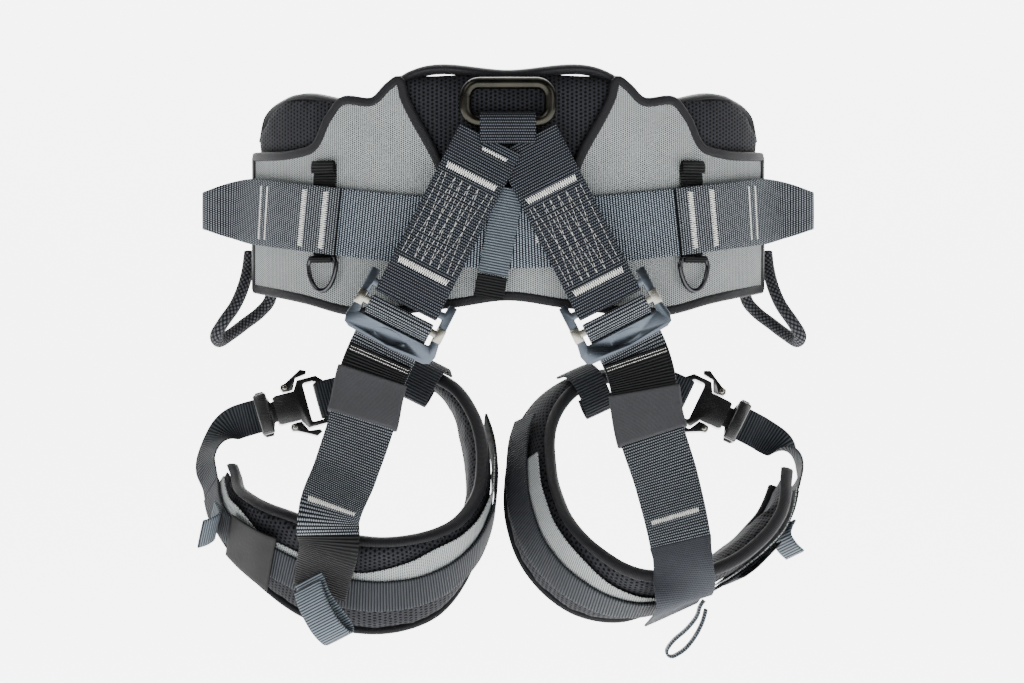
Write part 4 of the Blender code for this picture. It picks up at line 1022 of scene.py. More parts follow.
class Outline:
    """The edges of the padding on the back, as (side distance, height)."""

    @staticmethod
    def pad_top() -> list[tuple[float, float]]:
        """The pad's upper edge."""
        half = PAD_CENTRE_HALF
        return [(0, PAD_CENTRE_TOP), (half - 4 * MM, PAD_CENTRE_TOP - 1 * MM), (half + 4 * MM,
                PAD_CENTRE_TOP - 6 * MM),
                (half + 16 * MM, PAD_WING_TOP), (PAD_REACH - 22 * MM, PAD_WING_TOP + 2 * MM),
                (PAD_REACH - 8 * MM, PAD_WING_TOP - 6 * MM), (PAD_REACH, PAD_WING_TOP - 24 * MM)]

    @staticmethod
    def pad_bottom() -> list[tuple[float, float]]:
        """The lower edge of the pad and of the panel."""
        return [(0, PAD_BOTTOM + 4 * MM), (38 * MM, PAD_BOTTOM - 1 * MM), (108 * MM, PAD_BOTTOM - 5 * MM),
                (PAD_REACH - 40 * MM, PAD_BOTTOM + 2 * MM), (PAD_REACH, PAD_BOTTOM + PAD_BOTTOM_LIFT)]

    @staticmethod
    def shell_top() -> list[tuple[float, float]]:
        """The panel's upper edge, with the notch in its middle."""
        half = PAD_CENTRE_HALF
        return [(0, SHELL_NOTCH_BOTTOM), (SHELL_NOTCH_HALF - 10 * MM, SHELL_NOTCH_BOTTOM),
                (SHELL_NOTCH_HALF, SHELL_NOTCH_BOTTOM + 26 * MM), (half - 4 * MM, PAD_WING_TOP),
                (half, PAD_CENTRE_TOP - 5 * MM), (half + 6 * MM, PAD_CENTRE_TOP - 9 * MM),
                (half + 16 * MM, PAD_WING_TOP - 2 * MM), (half + 38 * MM, PAD_WING_TOP - 2 * MM),
                (half + 46 * MM, PAD_WING_TOP - 12 * MM), (half + 58 * MM, SHELL_WING_TOP + 3 * MM),
                (half + 70 * MM, SHELL_WING_TOP), (PAD_REACH, SHELL_WING_TOP)]

    @staticmethod
    def height(outline: Sequence[tuple[float, float]], x: np.ndarray) -> np.ndarray:
        """Read an outline at side distances."""
        return np.interp(np.abs(x), [p[0] for p in outline], [p[1] for p in outline])

    @staticmethod
    def both(outline: Sequence[tuple[float, float]]) -> list[tuple[float, float]]:
        """The outline from the left end to the right end."""
        return [(-x, z) for x, z in reversed(outline[1:])] + list(outline)


@dataclass
class Waist:
    """The back pad, the panel with its bound edges, the stiffener and the belt."""

    workshop: Workshop
    seamstress: Seamstress

    def build(self) -> None:
        """Build every piece of the waist."""
        self.pad()
        self.panel("waist_panel", TWILL, SHELL_DEPTH, SHEET_THICKNESS, PAD_REACH - 1 * MM, 1 * MM,
                   "waist_shell")
        self.panel("waist_stiffening", PLASTIC, CLEAR + SHEET_THICKNESS / 2, SHEET_THICKNESS,
                   PAD_REACH - 9 * MM,
                   9 * MM, "waist_stiffener")
        self.bindings()
        keys = [wall_key(x, BELT_DEPTH, belt_height(x)) for x in np.linspace(-BELT_END, BELT_END, 25)]
        belt = Course.along_keys(keys, BELT_WIDTH, 45)
        self.workshop.piece("waist_belting", ribbon("waist_belting", belt, WEB_THICKNESS), WEBBING,
                            "waist", ["waist_belt"])
        middle = belt.fine(2 * MM)
        centre = middle.arc[-1] / 2
        self.seamstress.tack(middle, "waist", centre + 19 * MM, -8 * MM, 6 * MM, BELT_STITCH_LIFT,
                             0.9 * MM)

    def pad(self) -> None:
        """The mesh-covered foam pad, swollen where the panel leaves it bare."""
        work = self.workshop.thing("waist_padding_work", cad_mesh("waist_pad"), MESH)

        def cap(points: np.ndarray) -> np.ndarray:
            line = Outline.height(Outline.shell_top(), points[:, 0])
            bare = np.clip((points[:, 2] - line) / (10 * MM), 0, 1)
            wing = np.clip((np.abs(points[:, 0]) - 105 * MM) / (25 * MM), 0, 1)
            inner = np.array([(p - wall(p[0], 0, p[2])[0]) @ wall(p[0], 0, p[2])[1]
                              for p in points]) < -9 * MM
            return np.where(inner, 2.0 * MM, 0.15 * MM + bare * (1.6 + 3.2 * wing) * MM)

        data = inflate(work, cap)
        unwrap(data, lambda p: np.column_stack([wall_arc(p[:, 0]), p[:, 2]]))
        made = self.workshop.piece("waist_padding", data, MESH, "waist", ["waist_pad"])

    def panel(self, name: str, finish: Finish, depth: float, thickness: float, reach: float, margin: float,
              node: str) -> None:
        """A sheet that follows the back between two outlines."""
        marks = sorted(set(np.round(np.linspace(-reach, reach, 150), 6)))
        sections, uvs = [], []
        for x, arc in zip(marks, wall_arc(np.array(marks))):
            high = float(Outline.height(Outline.shell_top(), x)) - margin
            low = float(Outline.height(Outline.pad_bottom(), x)) + margin
            ring, flat = [], []
            for share, out in rounded_section(1.0, thickness, 34):
                z = (high + low) / 2 + (high - low) / 2 * share
                point, normal = wall(x, depth, z)
                bulge = (0.25 * MM * math.sin(arc / (21 * MM) + 0.7) * math.cos(z / (17 * MM))
                         if finish is TWILL else 0)
                ring.append(point + normal * (out + bulge))
                flat.append((arc, z))
            sections.append(ring)
            uvs.append(flat)
        self.workshop.piece(name, loft(name, np.array(sections), np.array(uvs)), finish, "waist", [node])

    def tape(self, name: str, outline: Sequence[tuple[float, float]], depth: float, width: float,
             thick: float) -> None:
        """Binding tape that follows (x, z) points on the back."""
        smooth = hermite([(x, z, 0) for x, z in outline], max(24, int(len(outline) * 9)))
        keys = np.array([wall_key(x, depth, z) for x, z, _ in smooth])
        points = keys[:, :3]
        tangents = unit(np.gradient(points, axis=0))
        course = Course(points, np.cross(tangents, keys[:, 3:6]), np.full(len(points), width / 2))
        self.workshop.piece(name, ribbon(name, course, thick, 1.6 * MM, 0.1 * MM, 5), BINDING, "waist")

    def bindings(self) -> None:
        """The dark tape round the panel and the pad."""
        inset = 1.5 * MM
        top = [(x, z - inset) for x, z in Outline.both(Outline.shell_top())]
        low = [(x, z + inset) for x, z in Outline.both(Outline.pad_bottom())]
        reach = PAD_REACH - 2.5 * MM
        depth = SHELL_DEPTH + 0.2 * MM
        for name, line in (("binding_top", top), ("binding_low", low)):
            self.tape(name, [(max(-reach, min(reach, x)), z) for x, z in line], depth, *TAPE_SIZE)
        for side in Side:
            low_end = float(Outline.height(Outline.pad_bottom(), reach)) + inset
            ends = [(side.value * reach, z) for z in np.linspace(SHELL_WING_TOP - inset, low_end, 6)]
            self.tape("binding_end_" + side.word, ends, depth, *END_TAPE_SIZE)
        rim = [(x, z - 3 * MM) for x, z in Outline.both(Outline.pad_top())]
        self.tape("binding_rim", [(max(-reach, min(reach, x)), z) for x, z in rim], RIM_DEPTH, *RIM_SIZE)


@dataclass
class SideLoop:
    """One side attachment loop: the belt's second layer and its folded eye."""

    side: Side
    workshop: Workshop
    seamstress: Seamstress

    def course(self) -> Course:
        """The loop's course, from the back to the end of its fold."""
        side = self.side.value
        keys = [wall_key(side * x, SIDE_LOOP_DEPTH, belt_height(x))
                for x in np.linspace(SIDE_LOOP_START, BELT_END - 8 * MM, 6)]
        edge, _ = wall(side * PAD_REACH, 0, belt_height(PAD_REACH))
        outer = [(0.44, -7, -0.45, -0.9), (0.8, -3, -0.5, -0.85), (0.98, 0.5, -0.8, -0.5), (1.03, 4, -1,
                0.05),
                 (0.96, 7.5, -0.6, 0.8), (0.78, 8, 0.1, 1), (0.5, 6, 0.2, 1)]
        for share, y, nx, ny in outer:
            keys.append((edge[0] + side * share * SIDE_LOOP_TIP, edge[1] + y * MM, edge[2], -side * nx, ny,
                         0))
        course = Course.along_keys(keys, BELT_WIDTH, 34)
        past = np.clip((np.abs(course.points[:, 0]) - PAD_REACH) / SIDE_LOOP_TIP, 0, 1)
        course.half = BELT_WIDTH / 2 * (1 - 0.42 * past**1.4)
        return course

    def build(self) -> None:
        """Build the loop and its sewing."""
        name = "side_loop_" + self.side.word
        course = self.course()
        self.workshop.piece(name + "_web", ribbon(name, course, WEB_THICKNESS, ripple=0.2 * MM),
                            DARK_WEBBING, "waist", [name])
        line = course.fine(FINE_STEP)
        lift = BELT_STITCH_LIFT
        for along in (11 * MM, 28.5 * MM):
            self.seamstress.tack(line, "waist", along, -19 * MM, 19 * MM, lift)
        self.seamstress.run(line, "waist", [(1.4 * MM, -21 * MM), (1.4 * MM, 21 * MM)], lift, DARK_THREAD,
                            1.6 * MM, 1.0 * MM)
        for along in (71 * MM, 64 * MM):
            self.seamstress.tack(line, "waist", along, -18 * MM, 18 * MM, lift, 0.8 * MM, 1.4 * MM)


@dataclass
class GearPoint:
    """One gear strap with its steel ring, and the braided loop near it."""

    side: Side
    workshop: Workshop
    seamstress: Seamstress

    def build(self) -> None:
        """Build the strap, the ring and the loop."""
        side, word = self.side.value, self.side.word
        x = side * GEAR_STRAP_X
        bar = D_RING_WIRE / 2 + CLEAR + THIN_WEB / 2
        height = belt_height(x) - BELT_WIDTH / 2 - 3 * MM
        depth = GEAR_STRAP_DEPTH
        profile = [(depth + 2.6 * MM, GEAR_STRAP_TOP - 8 * MM), (depth + 2.6 * MM, GEAR_STRAP_TOP - 2 * MM),
                   (depth + 1.5 * MM, GEAR_STRAP_TOP), (depth, GEAR_STRAP_TOP - 2 * MM),
                   (depth, GEAR_STRAP_TOP - 15 * MM), (depth, height + 8 * MM)]
        profile += [(depth + bar - bar * math.cos(a), height - bar * math.sin(a)) for a in np.linspace(0,
                math.pi, 7)]
        path = hermite([wall(x, d, z)[0] for d, z in profile], 60)
        _, out = wall(x, 0, 0)
        across = np.cross(out, (0, 0, 1))
        course = Course(path, np.tile(across, (len(path), 1)), np.full(len(path), GEAR_STRAP_WIDTH / 2), -1)
        name = "gear_strap_" + word
        self.workshop.piece(name + "_web", ribbon(name, course, THIN_WEB, 1 * MM, ripple=0.05 * MM),
                            BLACK_WEBBING,
                            "waist", [name])
        self.ring(wall(x, depth + bar, height)[0], out, across)
        self.cord()

    def ring(self, centre: np.ndarray, out: np.ndarray, across: np.ndarray) -> None:
        """The D-shaped steel ring."""
        lean = np.array((0, 0, -1)) + out * 0.03
        lean /= np.linalg.norm(lean)
        half = D_RING_WIDTH / 2 - D_RING_WIRE / 2
        corner = 2 * MM
        flat = [(x, 0) for x in np.linspace(-half + corner, half - corner, 8)]
        flat += [(half * math.cos(a), corner + (D_RING_DROP - corner) * math.sin(a))
                 for a in np.linspace(0.12, math.pi - 0.12, 30)]
        points = np.array([centre + across * a + lean * b for a, b in flat])
        name = "d_ring_" + self.side.word
        self.workshop.piece(name + "_bar", round_tube(name, points, D_RING_WIRE / 2, True), GUNMETAL,
                            "gear_ring_" + self.side.word, [name])

    def cord(self) -> None:
        """The braided gear loop; its ends stop short of the pad and nothing holds them."""
        side = self.side.value
        edge, _ = wall(PAD_REACH, 0, 0)
        route = [(5, 9, -109), (6, 6, -119), (8, 0, -130), (14, -8, -146), (22, -12, -158), (27, -8, -166),
                 (26, 2, -170.5), (19, 13, -166), (9, 22, -158), (-1, 26, -150), (-7, 26, -143),
                 (-9, 25, -137)]
        points = hermite([(side * (edge[0] + x * MM), edge[1] + y * MM, z * MM) for x, y, z in route], 90)
        name = "gear_loop_" + self.side.word
        made = self.workshop.piece(name + "_cord", round_tube(name, points, GEAR_CORD / 2, False, 24),
                                   CORD, "waist", [name])


# The suspension --------------------------------------------------------------------------------
def wrap_round(centre: float, half_along: float, half_out: float) -> list[tuple[float, float]]:
    """A half turn of (down, out) points round the lower side of a bar."""
    points = []
    for angle in np.linspace(0, math.pi, WRAP_POINTS):
        out = math.copysign(abs(math.cos(angle)) ** WRAP_CORNER, math.cos(angle))
        points.append((centre + half_along * math.sin(angle) ** WRAP_CORNER, half_out * out))
    return points


def adjuster_matrix(side: Side) -> Matrix:
    """An adjuster's frame: X across the strap, Y up along it, Z out of the back."""
    down = Vector((side.value * math.sin(STRAP_SPLAY), 0, -math.cos(STRAP_SPLAY)))
    centre = Vector((side.value * STRAP_TOP.x, ADJUSTER_Y, STRAP_TOP.z)) + down * STRAP_LENGTH
    out = Vector((0, -1, 0))
    return Matrix.Translation(centre) @ Matrix(((-down).cross(out), -down, out)).transposed().to_4x4()


@dataclass
class Suspension:
    """The rear ring, the webbing round its low bar, the crossed straps and the centre tab."""

    workshop: Workshop
    seamstress: Seamstress

    def build(self) -> None:
        """Build the suspension."""
        half_w, half_h = RING_WIDTH / 2 - RING_BAR / 2, RING_HEIGHT / 2 - RING_BAR / 2
        flat = []
        for quarter, (cx, cz) in enumerate(((half_w, 0), (-half_w, 0), (-half_w, -2 * half_h),
                                            (half_w, -2 * half_h))):
            sx, sz = (1, -1, -1, 1)[quarter], (1, 1, -1, -1)[quarter]
            for step in np.linspace(0, 1, 10):
                angle = (quarter + step) * math.pi / 2
                flat.append((cx - sx * RING_CORNER + RING_CORNER * math.cos(angle), 0,
                             cz - sz * RING_CORNER + RING_CORNER * math.sin(angle)))
        self.workshop.piece("rear_ring_bar", round_tube("rear_ring", np.array(flat), RING_BAR / 2, True,
                                                        28), BRONZE,
                            "hang_ring", ["rear_ring"])
        reach = RING_BAR / 2 + CLEAR + WEB_THICKNESS / 2
        low = -(RING_HEIGHT - RING_BAR)
        keys = [(0, -reach - 0.6 * MM, low - 15 * MM, 0, -1, 0), (0, -reach - 0.2 * MM, low - 8 * MM, 0,
                -1, 0)]
        keys += [(0, -reach * math.cos(a), low + reach * math.sin(a), 0, -math.cos(a), math.sin(a))
                 for a in np.linspace(0, math.pi, 9)]
        keys += [(0, reach - 1.2 * MM, low - 9 * MM, 0, 1, 0), (0, 2.6 * MM, low - 20 * MM, 0, 1, 0),
                 (0, 2.6 * MM, low - 34 * MM, 0, 1, 0)]
        wrap = Course.along_keys(keys, RING_WEB_WIDTH, 60)
        self.workshop.piece("ring_wrap", ribbon("ring_wrap", wrap, WEB_THICKNESS, 1 * MM), REAR_WEBBING,
                            "waist",
                            ["ring_webbing"])
        for side in Side:
            self.strap(side)
        y = PAD_FACE_Y - BELT_DEPTH - WEB_THICKNESS / 2 - CLEAR - THIN_WEB / 2
        keys = [(x * MM, y - d * MM, z * MM, 0, -1, 0)
                for x, d, z in ((1, 0.1, -69), (-2, 0, -84), (-6, 0, -106), (-10, 0.2, -126),
                                (-13, 0.2, -142))]
        tab = Course.along_keys(keys, CENTRE_TAB_WIDTH, 12).fine(1 * MM)
        cut = tab.arc[-1] - 16 * MM
        self.workshop.piece("centre_tab_web", ribbon("centre_tab", tab.part(0, cut), THIN_WEB),
                            LOOP_WEBBING, "waist",
                            ["centre_tab"])
        self.workshop.piece("centre_tab_end", ribbon("centre_tab_end", tab.part(cut, 1), THIN_WEB * 1.05),
                            BLACK_WEBBING, "waist")

    def strap(self, side: Side) -> None:
        """One rear strap, folded round its adjuster's top bar, with its sewing."""
        matrix = adjuster_matrix(side)
        wrap = (TOP_BAR[1] - TOP_BAR[0]) / 2 + WRAP_CLEAR + WEB_THICKNESS / 2
        bar_at = (TOP_BAR[0] + TOP_BAR[1]) / 2
        reach = ADJUSTER_PLATE / 2 + WRAP_CLEAR + WEB_THICKNESS / 2
        front = [(0, 2.6, 0.5), (8, 3.0, 0.6), (20, 4.7, 2.6), (34, 5.0, 4.8), (54, 4.8, 4.8), (85, 4.7, 4.7)]
        profile = [(down * MM - STRAP_LENGTH, (left if side is Side.LEFT else right) * MM + ADJUSTER_Y)
                   for down, left, right in front]
        profile.append((bar_at - 9 * MM, reach + 0.2 * MM))
        profile += wrap_round(bar_at, wrap, reach)
        profile += [(bar_at - 8 * MM, -reach), (bar_at - 20 * MM, -reach)]
        course = Course.in_frame(matrix, profile, BELT_WIDTH, 80)
        name = "rear_strap_" + side.word
        self.workshop.piece(name + "_web", ribbon(name, course, WEB_THICKNESS, 1.2 * MM), REAR_WEBBING,
                            "waist", [name])
        line = course.fine(FINE_STEP)
        lift = STRAP_STITCH_LIFT
        first, last = (28 * MM, 98 * MM) if side is Side.LEFT else (38 * MM, 106 * MM)
        for along in (first, last):
            self.seamstress.tack(line, "waist", along, -18 * MM, 18 * MM, lift)
        if side is Side.LEFT:
            self.seamstress.tack(line, "waist", 8 * MM, -2 * MM, 16 * MM, lift, 1.2 * MM, 1.6 * MM)
        top, low = first + 5 * MM, last - 5 * MM
        for ends in ((top, low), (low, top)):
            zigzag = [(ends[i % 2], across * MM) for i, across in enumerate(STROKES)]
            self.seamstress.run(line, "waist", zigzag, lift, GREY_THREAD)
        for across in (-18.5 * MM, 18.5 * MM):
            self.seamstress.run(line, "waist", [(top, across), (low, across)], lift, GREY_THREAD)


# The leg loops ---------------------------------------------------------------------------------
# Each row: x, y, z of the pad's centre line, half its width (all mm), and how far its outer face
# turns towards the back (degrees).
LEG_LEFT = [
    (-189, 22, -262, 15, 40), (-184, 6, -281, 22, 44), (-168, -10, -298, 30, 48), (-142, -22, -313, 36, 52),
    (-113, -28, -326, 38, 53), (-82, -30, -330, 38, 53), (-53, -24, -324, 37, 46), (-32, -12, -308, 33, 28),
    (-20.5, 5, -284, 28, 6), (-19, 22, -256, 24, -8), (-25, 38, -228, 20, -15), (-38, 50, -206, 16, -15),
    (-57, 57, -194, 14, -8), (-76, 60, -191, 13, 0), (-93, 61, -195, 13, 3), (-106, 60, -200, 13, 5),
]
LEG_RIGHT = [
    (182, 28, -262, 14, -8), (175, 14, -283, 20, -12), (157, 0, -305, 26, -6), (134, -12, -322, 31, 4),
    (106, -22, -333, 35, 16), (77, -28, -336, 37, 28), (50, -26, -326, 36, 38), (28, -16, -306, 33, 42),
    (17, -2, -282, 29, 42), (14.5, 16, -254, 25, 36), (19, 32, -228, 21, 28), (33, 46, -208, 17, 16),
    (52, 56, -197, 14, 6), (71, 60, -194, 13, 2), (88, 62, -196, 13, 0), (101, 61, -199.5, 13, 0),
]


@dataclass(frozen=True)
class LegShape:
    """What differs between the two leg loops.

    Args:
        keys: Rows of the pad's centre line.
        riser: Points of the riser below its adjuster, in mm from the hinge.
        riser_share: Where the riser meets the pad, as a share of the loop.
        tail: The tail loop's share of the loop, and its offsets across, along and out, in mm.
        tail_way: The way that the tail loop points, along, across and out.
        end_long: Length of the riser's black end.
        sleeve_from: Where the sleeve starts on the riser.
        mouth: The buckle's middle, in mm.
        along: The way from the buckle's tongue to its body.
        out: The way out of the wearer at the buckle.
    """

    keys: Sequence
    riser: Sequence
    riser_share: float
    tail: tuple[float, float, float, float]
    tail_way: tuple[float, float, float]
    end_long: float
    sleeve_from: float
    mouth: tuple[float, float, float]
    along: tuple[float, float, float]
    out: tuple[float, float, float]


SHAPES = {
    Side.LEFT: LegShape(LEG_LEFT, [(-4.6, -3, -11), (-12, -19, -44), (-22, -38, -76)], 0.28, (0.25, -9, 4,
    6.2), (0.86, 0.6, 0.0), 52 * MM, 16 * MM,
                        (-149, 50, -216), (0.955, 0.15, 0.25), (-0.1, -1, 0.1)),
    Side.RIGHT: LegShape(LEG_RIGHT, [(3.6, -3, -11), (9, -18, -46), (20, -38, -84)], 0.305, (0.25, 7, -2,
    1), (1.0, 0.37, 0.3), 80 * MM, 27 * MM,
                         (140, 55, -218), (-0.88, 0.08, 0.42), (0.1, -1, 0.1)),
}
SHELL_SPAN = (0.03, 0.68)
SHELL_EDGE = ((0.03, 0.88), (0.12, 0.80), (0.17, 0.46), (0.33, 0.42), (0.40, 0.62), (0.47, 0.86),
              (0.68, 0.90))
SHELL_LOW_EDGE = 0.28
WEB_SPAN = (0.02, 0.75)
COVER_SPAN = (0.12, 0.20)
FRONT_LOOP_SHARE = 0.86
TRIM_DEPTH = LEG_WEB_DEPTH + WEB_THICKNESS / 2 + CLEAR + THIN_WEB / 2


@dataclass
class LegLoop:
    """One leg loop: its pad, its layers, its riser, its trims and its buckle."""

    side: Side
    workshop: Workshop
    seamstress: Seamstress

    def __post_init__(self) -> None:
        """Work out the stations round the thigh."""
        self.shape = SHAPES[self.side]
        self.body = "leg_" + self.side.word
        rows = hermite([(x * MM, y * MM, z * MM, h * MM, f) for x, y, z, h, f in self.shape.keys],
                       LOOP_STATIONS)
        self.points, self.half = rows[:, :3], rows[:, 3]
        self.runs = unit(np.gradient(self.points, axis=0))
        back = np.array((0.0, 1.0, 0.0))
        radial = unit(np.cross(back, self.runs) * -self.side.value)
        turn = np.radians(rows[:, 4])[:, None]
        out = radial * np.cos(turn) - back * np.sin(turn)
        self.out = unit(out - (out * self.runs).sum(axis=1)[:, None] * self.runs)
        self.wide = np.cross(self.runs, self.out)

    def station(self, share: float) -> tuple[Vector, Vector, Vector, Vector, float]:
        """Point, way out, way across to the front, run and half width at a share of the loop."""
        i = round(share * (LOOP_STATIONS - 1))
        wide = Vector(self.wide[i])
        return (Vector(self.points[i]), Vector(self.out[i]), wide if wide.y > 0 else -wide,
                Vector(self.runs[i]), self.half[i])

    def layer(self, span: tuple[float, float], depth: float, half: np.ndarray) -> Course:
        """The course of a layer over the pad."""
        first, last = (round(share * (LOOP_STATIONS - 1)) for share in span)
        cut = slice(first, last + 1)
        return Course(self.points[cut] + self.out[cut] * depth, self.wide[cut], half[cut])

    def build(self) -> None:
        """Build the whole leg loop."""
        self.pad()
        word = self.side.word
        shell = self.layer(SHELL_SPAN, LEG_SHELL_DEPTH, self.half)
        high = np.interp(np.linspace(*SHELL_SPAN, len(shell.half)), *zip(*SHELL_EDGE))
        middle = shell.half * (high - SHELL_LOW_EDGE) / 2 * self.side.value
        shell.points = shell.points + shell.across * middle[:, None]
        shell.half = shell.half * (high + SHELL_LOW_EDGE) / 2
        self.workshop.piece("leg_panel_" + word, ribbon("leg_panel", shell, LEG_SHELL, 2 * MM,
                                                        ripple=0.3 * MM, columns=16),
                            TWILL, self.body, ["leg_shell_" + word])
        band = self.layer(WEB_SPAN, LEG_WEB_DEPTH, np.full(LOOP_STATIONS, LEG_BAND / 2))
        self.workshop.piece("leg_band_" + word, ribbon("leg_band", band, WEB_THICKNESS), BAND_WEBBING,
                            self.body,
                            ["leg_webbing_" + word])
        self.riser()
        self.trims()
        Buckle(self).build(band)

    def pad(self) -> None:
        """The foam pad with its bound edges."""
        work = self.workshop.thing("leg_padding_work", cad_mesh("leg_pad_" + self.side.word), MESH)
        line = Course(self.points, self.wide, self.half).fine(4 * MM)
        arc, normals, tangents = line.arc, line.normals, line.tangents

        def nearest(points: np.ndarray) -> np.ndarray:
            return np.argmin(((points[:, None, :] - line.points[None]) ** 2).sum(axis=2), axis=1)

        def cap(points: np.ndarray) -> np.ndarray:
            at = nearest(points)
            out = ((points - line.points[at]) * normals[at]).sum(axis=1)
            return np.where(out > 2 * MM, 0.3 * MM, 2.2 * MM)

        def flat(points: np.ndarray) -> np.ndarray:
            at = nearest(points)
            gone = points - line.points[at]
            return np.column_stack([arc[at] + (gone * tangents[at]).sum(axis=1),
                                    (gone * line.across[at]).sum(axis=1)])

        data = inflate(work, cap)
        unwrap(data, flat)
        made = self.workshop.piece("leg_padding_" + self.side.word, data, MESH, self.body,
                                   ["leg_pad_" + self.side.word])
        for sign, edge in ((-1, "back"), (1, "front")):
            rim = line.points + line.across * (sign * (line.half - 0.6 * MM))[:, None]
            course = Course(rim, line.across, np.full(len(rim), 2.6 * MM))
            name = f"leg_binding_{edge}_{self.side.word}"
            self.workshop.piece(name, ribbon(name, course, LEG_PAD_THICKNESS * 0.6, 3 * MM, columns=5),
                                BINDING, self.body)

    def riser(self) -> None:
        """The riser: one webbing from its tail, over the adjuster's bar, down to the thigh."""
        word, matrix = self.side.word, adjuster_matrix(self.side)
        start = matrix @ Vector((0, -HINGE_AT - HINGE_GAP, RISER_OUT))
        route = [start] + [start + Vector(p) * MM for p in self.shape.riser]
        spot, out, wide, _, half = self.station(self.shape.riser_share)
        lift = LEG_WEB_DEPTH + WEB_THICKNESS + CLEAR + 2.8 * MM
        rim = spot + out * lift - wide * (half + 1 * MM)
        route += [rim + Vector((0, -3.5, 16)) * MM, rim - wide * 1 * MM + out * 1 * MM,
                  spot + out * lift - wide * half * 0.45,
                  spot + out * lift + wide * 2 * MM]
        slant = matrix.to_3x3() @ Vector((1, 0, 0))
        rows = []
        for i, point in enumerate(route):
            step = route[min(i + 1, len(route) - 1)] - route[max(i - 1, 0)]
            normal = slant.cross(step)
            normal = -normal if normal.y > 0 else normal
            rows.append((*point, *normal.normalized()))
        middle = RISER_TOP_WIDTH + (RISER_END_WIDTH - RISER_TOP_WIDTH) * 0.5
        whole = Course.along_keys(rows, RISER_TOP_WIDTH, 61)
        total = whole.arc[-1]
        split = total - self.shape.end_long
        whole.half = np.interp(whole.arc, (0, split, total), (RISER_TOP_WIDTH / 2, middle / 2,
                RISER_END_WIDTH / 2))
        line = whole.fine(FINE_STEP)
        lower = line.part(split + 1 * MM, total)
        finish = BLACK_WEBBING
        if self.side is Side.RIGHT:
            finish = COVER
            lower.half = lower.half * np.interp(lower.arc, (0, 8 * MM, lower.arc[-1]), (1.02, 0.98, 1.12))
        self.workshop.piece("riser_end_" + word, ribbon("riser_end", lower, WEB_THICKNESS), finish, self.body,
                            ["leg_riser_end_" + word])
        upper = self.upper(matrix)
        down = line.part(0, split + 3 * MM)
        joined = Course(np.vstack([upper.points, down.points[4:]]), np.vstack([upper.across,
                down.across[4:] * -1]),
                        np.concatenate([upper.half, down.half[4:]]), -1)
        hinge = matrix @ Vector((0, -HINGE_AT, RISER_OUT))
        way = matrix.to_3x3() @ Vector((0, -1, 0))
        bend = Bend("adjuster_" + word, self.body, hinge - way * 2 * MM, hinge + way * 10 * MM)
        self.workshop.piece("riser_" + word, ribbon("riser", joined, WEB_THICKNESS, 1.2 * MM), DARK_WEBBING,
                            None, ["riser_upper_" + word, "leg_riser_" + word], bend)
        lift = STRAP_STITCH_LIFT
        self.seamstress.tack(line, self.body, split - 17 * MM, -16 * MM, 16 * MM, lift, 1.8 * MM, 1.3 * MM)
        self.tail_layer(line, bend)
        self.sleeve(line)

    def tail_layer(self, line: Course, bend: Bend) -> None:
        """The black layer that leaves the adjuster on the riser's face and runs into the sleeve."""
        part = line.part(0.5 * MM, self.shape.sleeve_from + 4 * MM)
        layer = part.shifted(0, WEB_THICKNESS / 2 + THIN_WEB / 2, RISER_TOP_WIDTH - 1 * MM)
        name = "riser_tail_" + self.side.word
        self.workshop.piece(name, ribbon(name, layer, THIN_WEB * 0.9, ripple=0.05 * MM), BLACK_WEBBING,
                            bend=bend)
        for along in (2.6 * MM, 4.6 * MM):
            self.seamstress.run(layer.fine(1 * MM), self.body, [(along, -21 * MM), (along, 21 * MM)],
                                THIN_WEB / 2,
                                WHITE_THREAD, 0.9 * MM, 0.6 * MM)

    def upper(self, matrix: Matrix) -> Course:
        """The riser's course round the slide bar, from its tail to below the adjuster."""
        wrap = SLIDE_BAR_HALF[0] + WRAP_CLEAR + WEB_THICKNESS / 2
        bar_out = ADJUSTER_PLATE / 2 + CLEAR + SLIDE_BAR_HALF[1]
        deep = SLIDE_BAR_HALF[1] + WRAP_CLEAR + WEB_THICKNESS / 2
        end = HINGE_AT - HINGE_GAP
        back = -(ADJUSTER_PLATE / 2 + WRAP_CLEAR + WEB_THICKNESS / 2)
        load = back - WEB_THICKNESS - 1.0 * MM
        gap = PLATE_TOP - WRAP_CLEAR - WEB_THICKNESS / 2
        profile = [(end, back), (gap + 8 * MM, back), (gap + 2.6 * MM, back), (gap + 0.2 * MM, -2.2 * MM),
                   (gap, 0.6 * MM), (gap - 2 * MM, bar_out)]
        profile += [(SLIDE_BAR_AT - (down - SLIDE_BAR_AT), bar_out - out)
                    for down, out in reversed(wrap_round(SLIDE_BAR_AT, wrap, deep))]
        profile += [(gap - 4.6 * MM, back + 2.8 * MM), (gap - 2.6 * MM, back), (gap + 0.6 * MM,
                load + 0.9 * MM),
                    (gap + 5 * MM, load), (end, load)]
        return Course.in_frame(matrix, profile, RISER_TOP_WIDTH, 110)

    def sleeve(self, line: Course) -> None:
        """The elastic sleeve round the riser."""
        part = line.part(self.shape.sleeve_from, self.shape.sleeve_from + SLEEVE_LENGTH)
        arc, normals = part.arc, part.normals
        half = RISER_TOP_WIDTH / 2 + CLEAR + SLEEVE_WALL
        deep = WEB_THICKNESS / 2 + CLEAR + SLEEVE_WALL + 0.3 * MM
        sections, uvs = [], []
        for i in range(len(arc)):
            pinch = 1 + 0.006 * math.cos(math.tau * arc[i] / arc[-1])
            ring = [(x * pinch, y) for x, y in rounded_section(half, deep * 2, 12, 5)]
            sections.append([part.points[i] + part.across[i] * x + normals[i] * y for x, y in ring])
            uvs.append([(arc[i], x) for x, _ in ring])
        name = "riser_sleeve_" + self.side.word
        self.workshop.piece(name, loft(name, np.array(sections), np.array(uvs)), ELASTIC, self.body,
                            ["leg_sleeve_" + self.side.word])

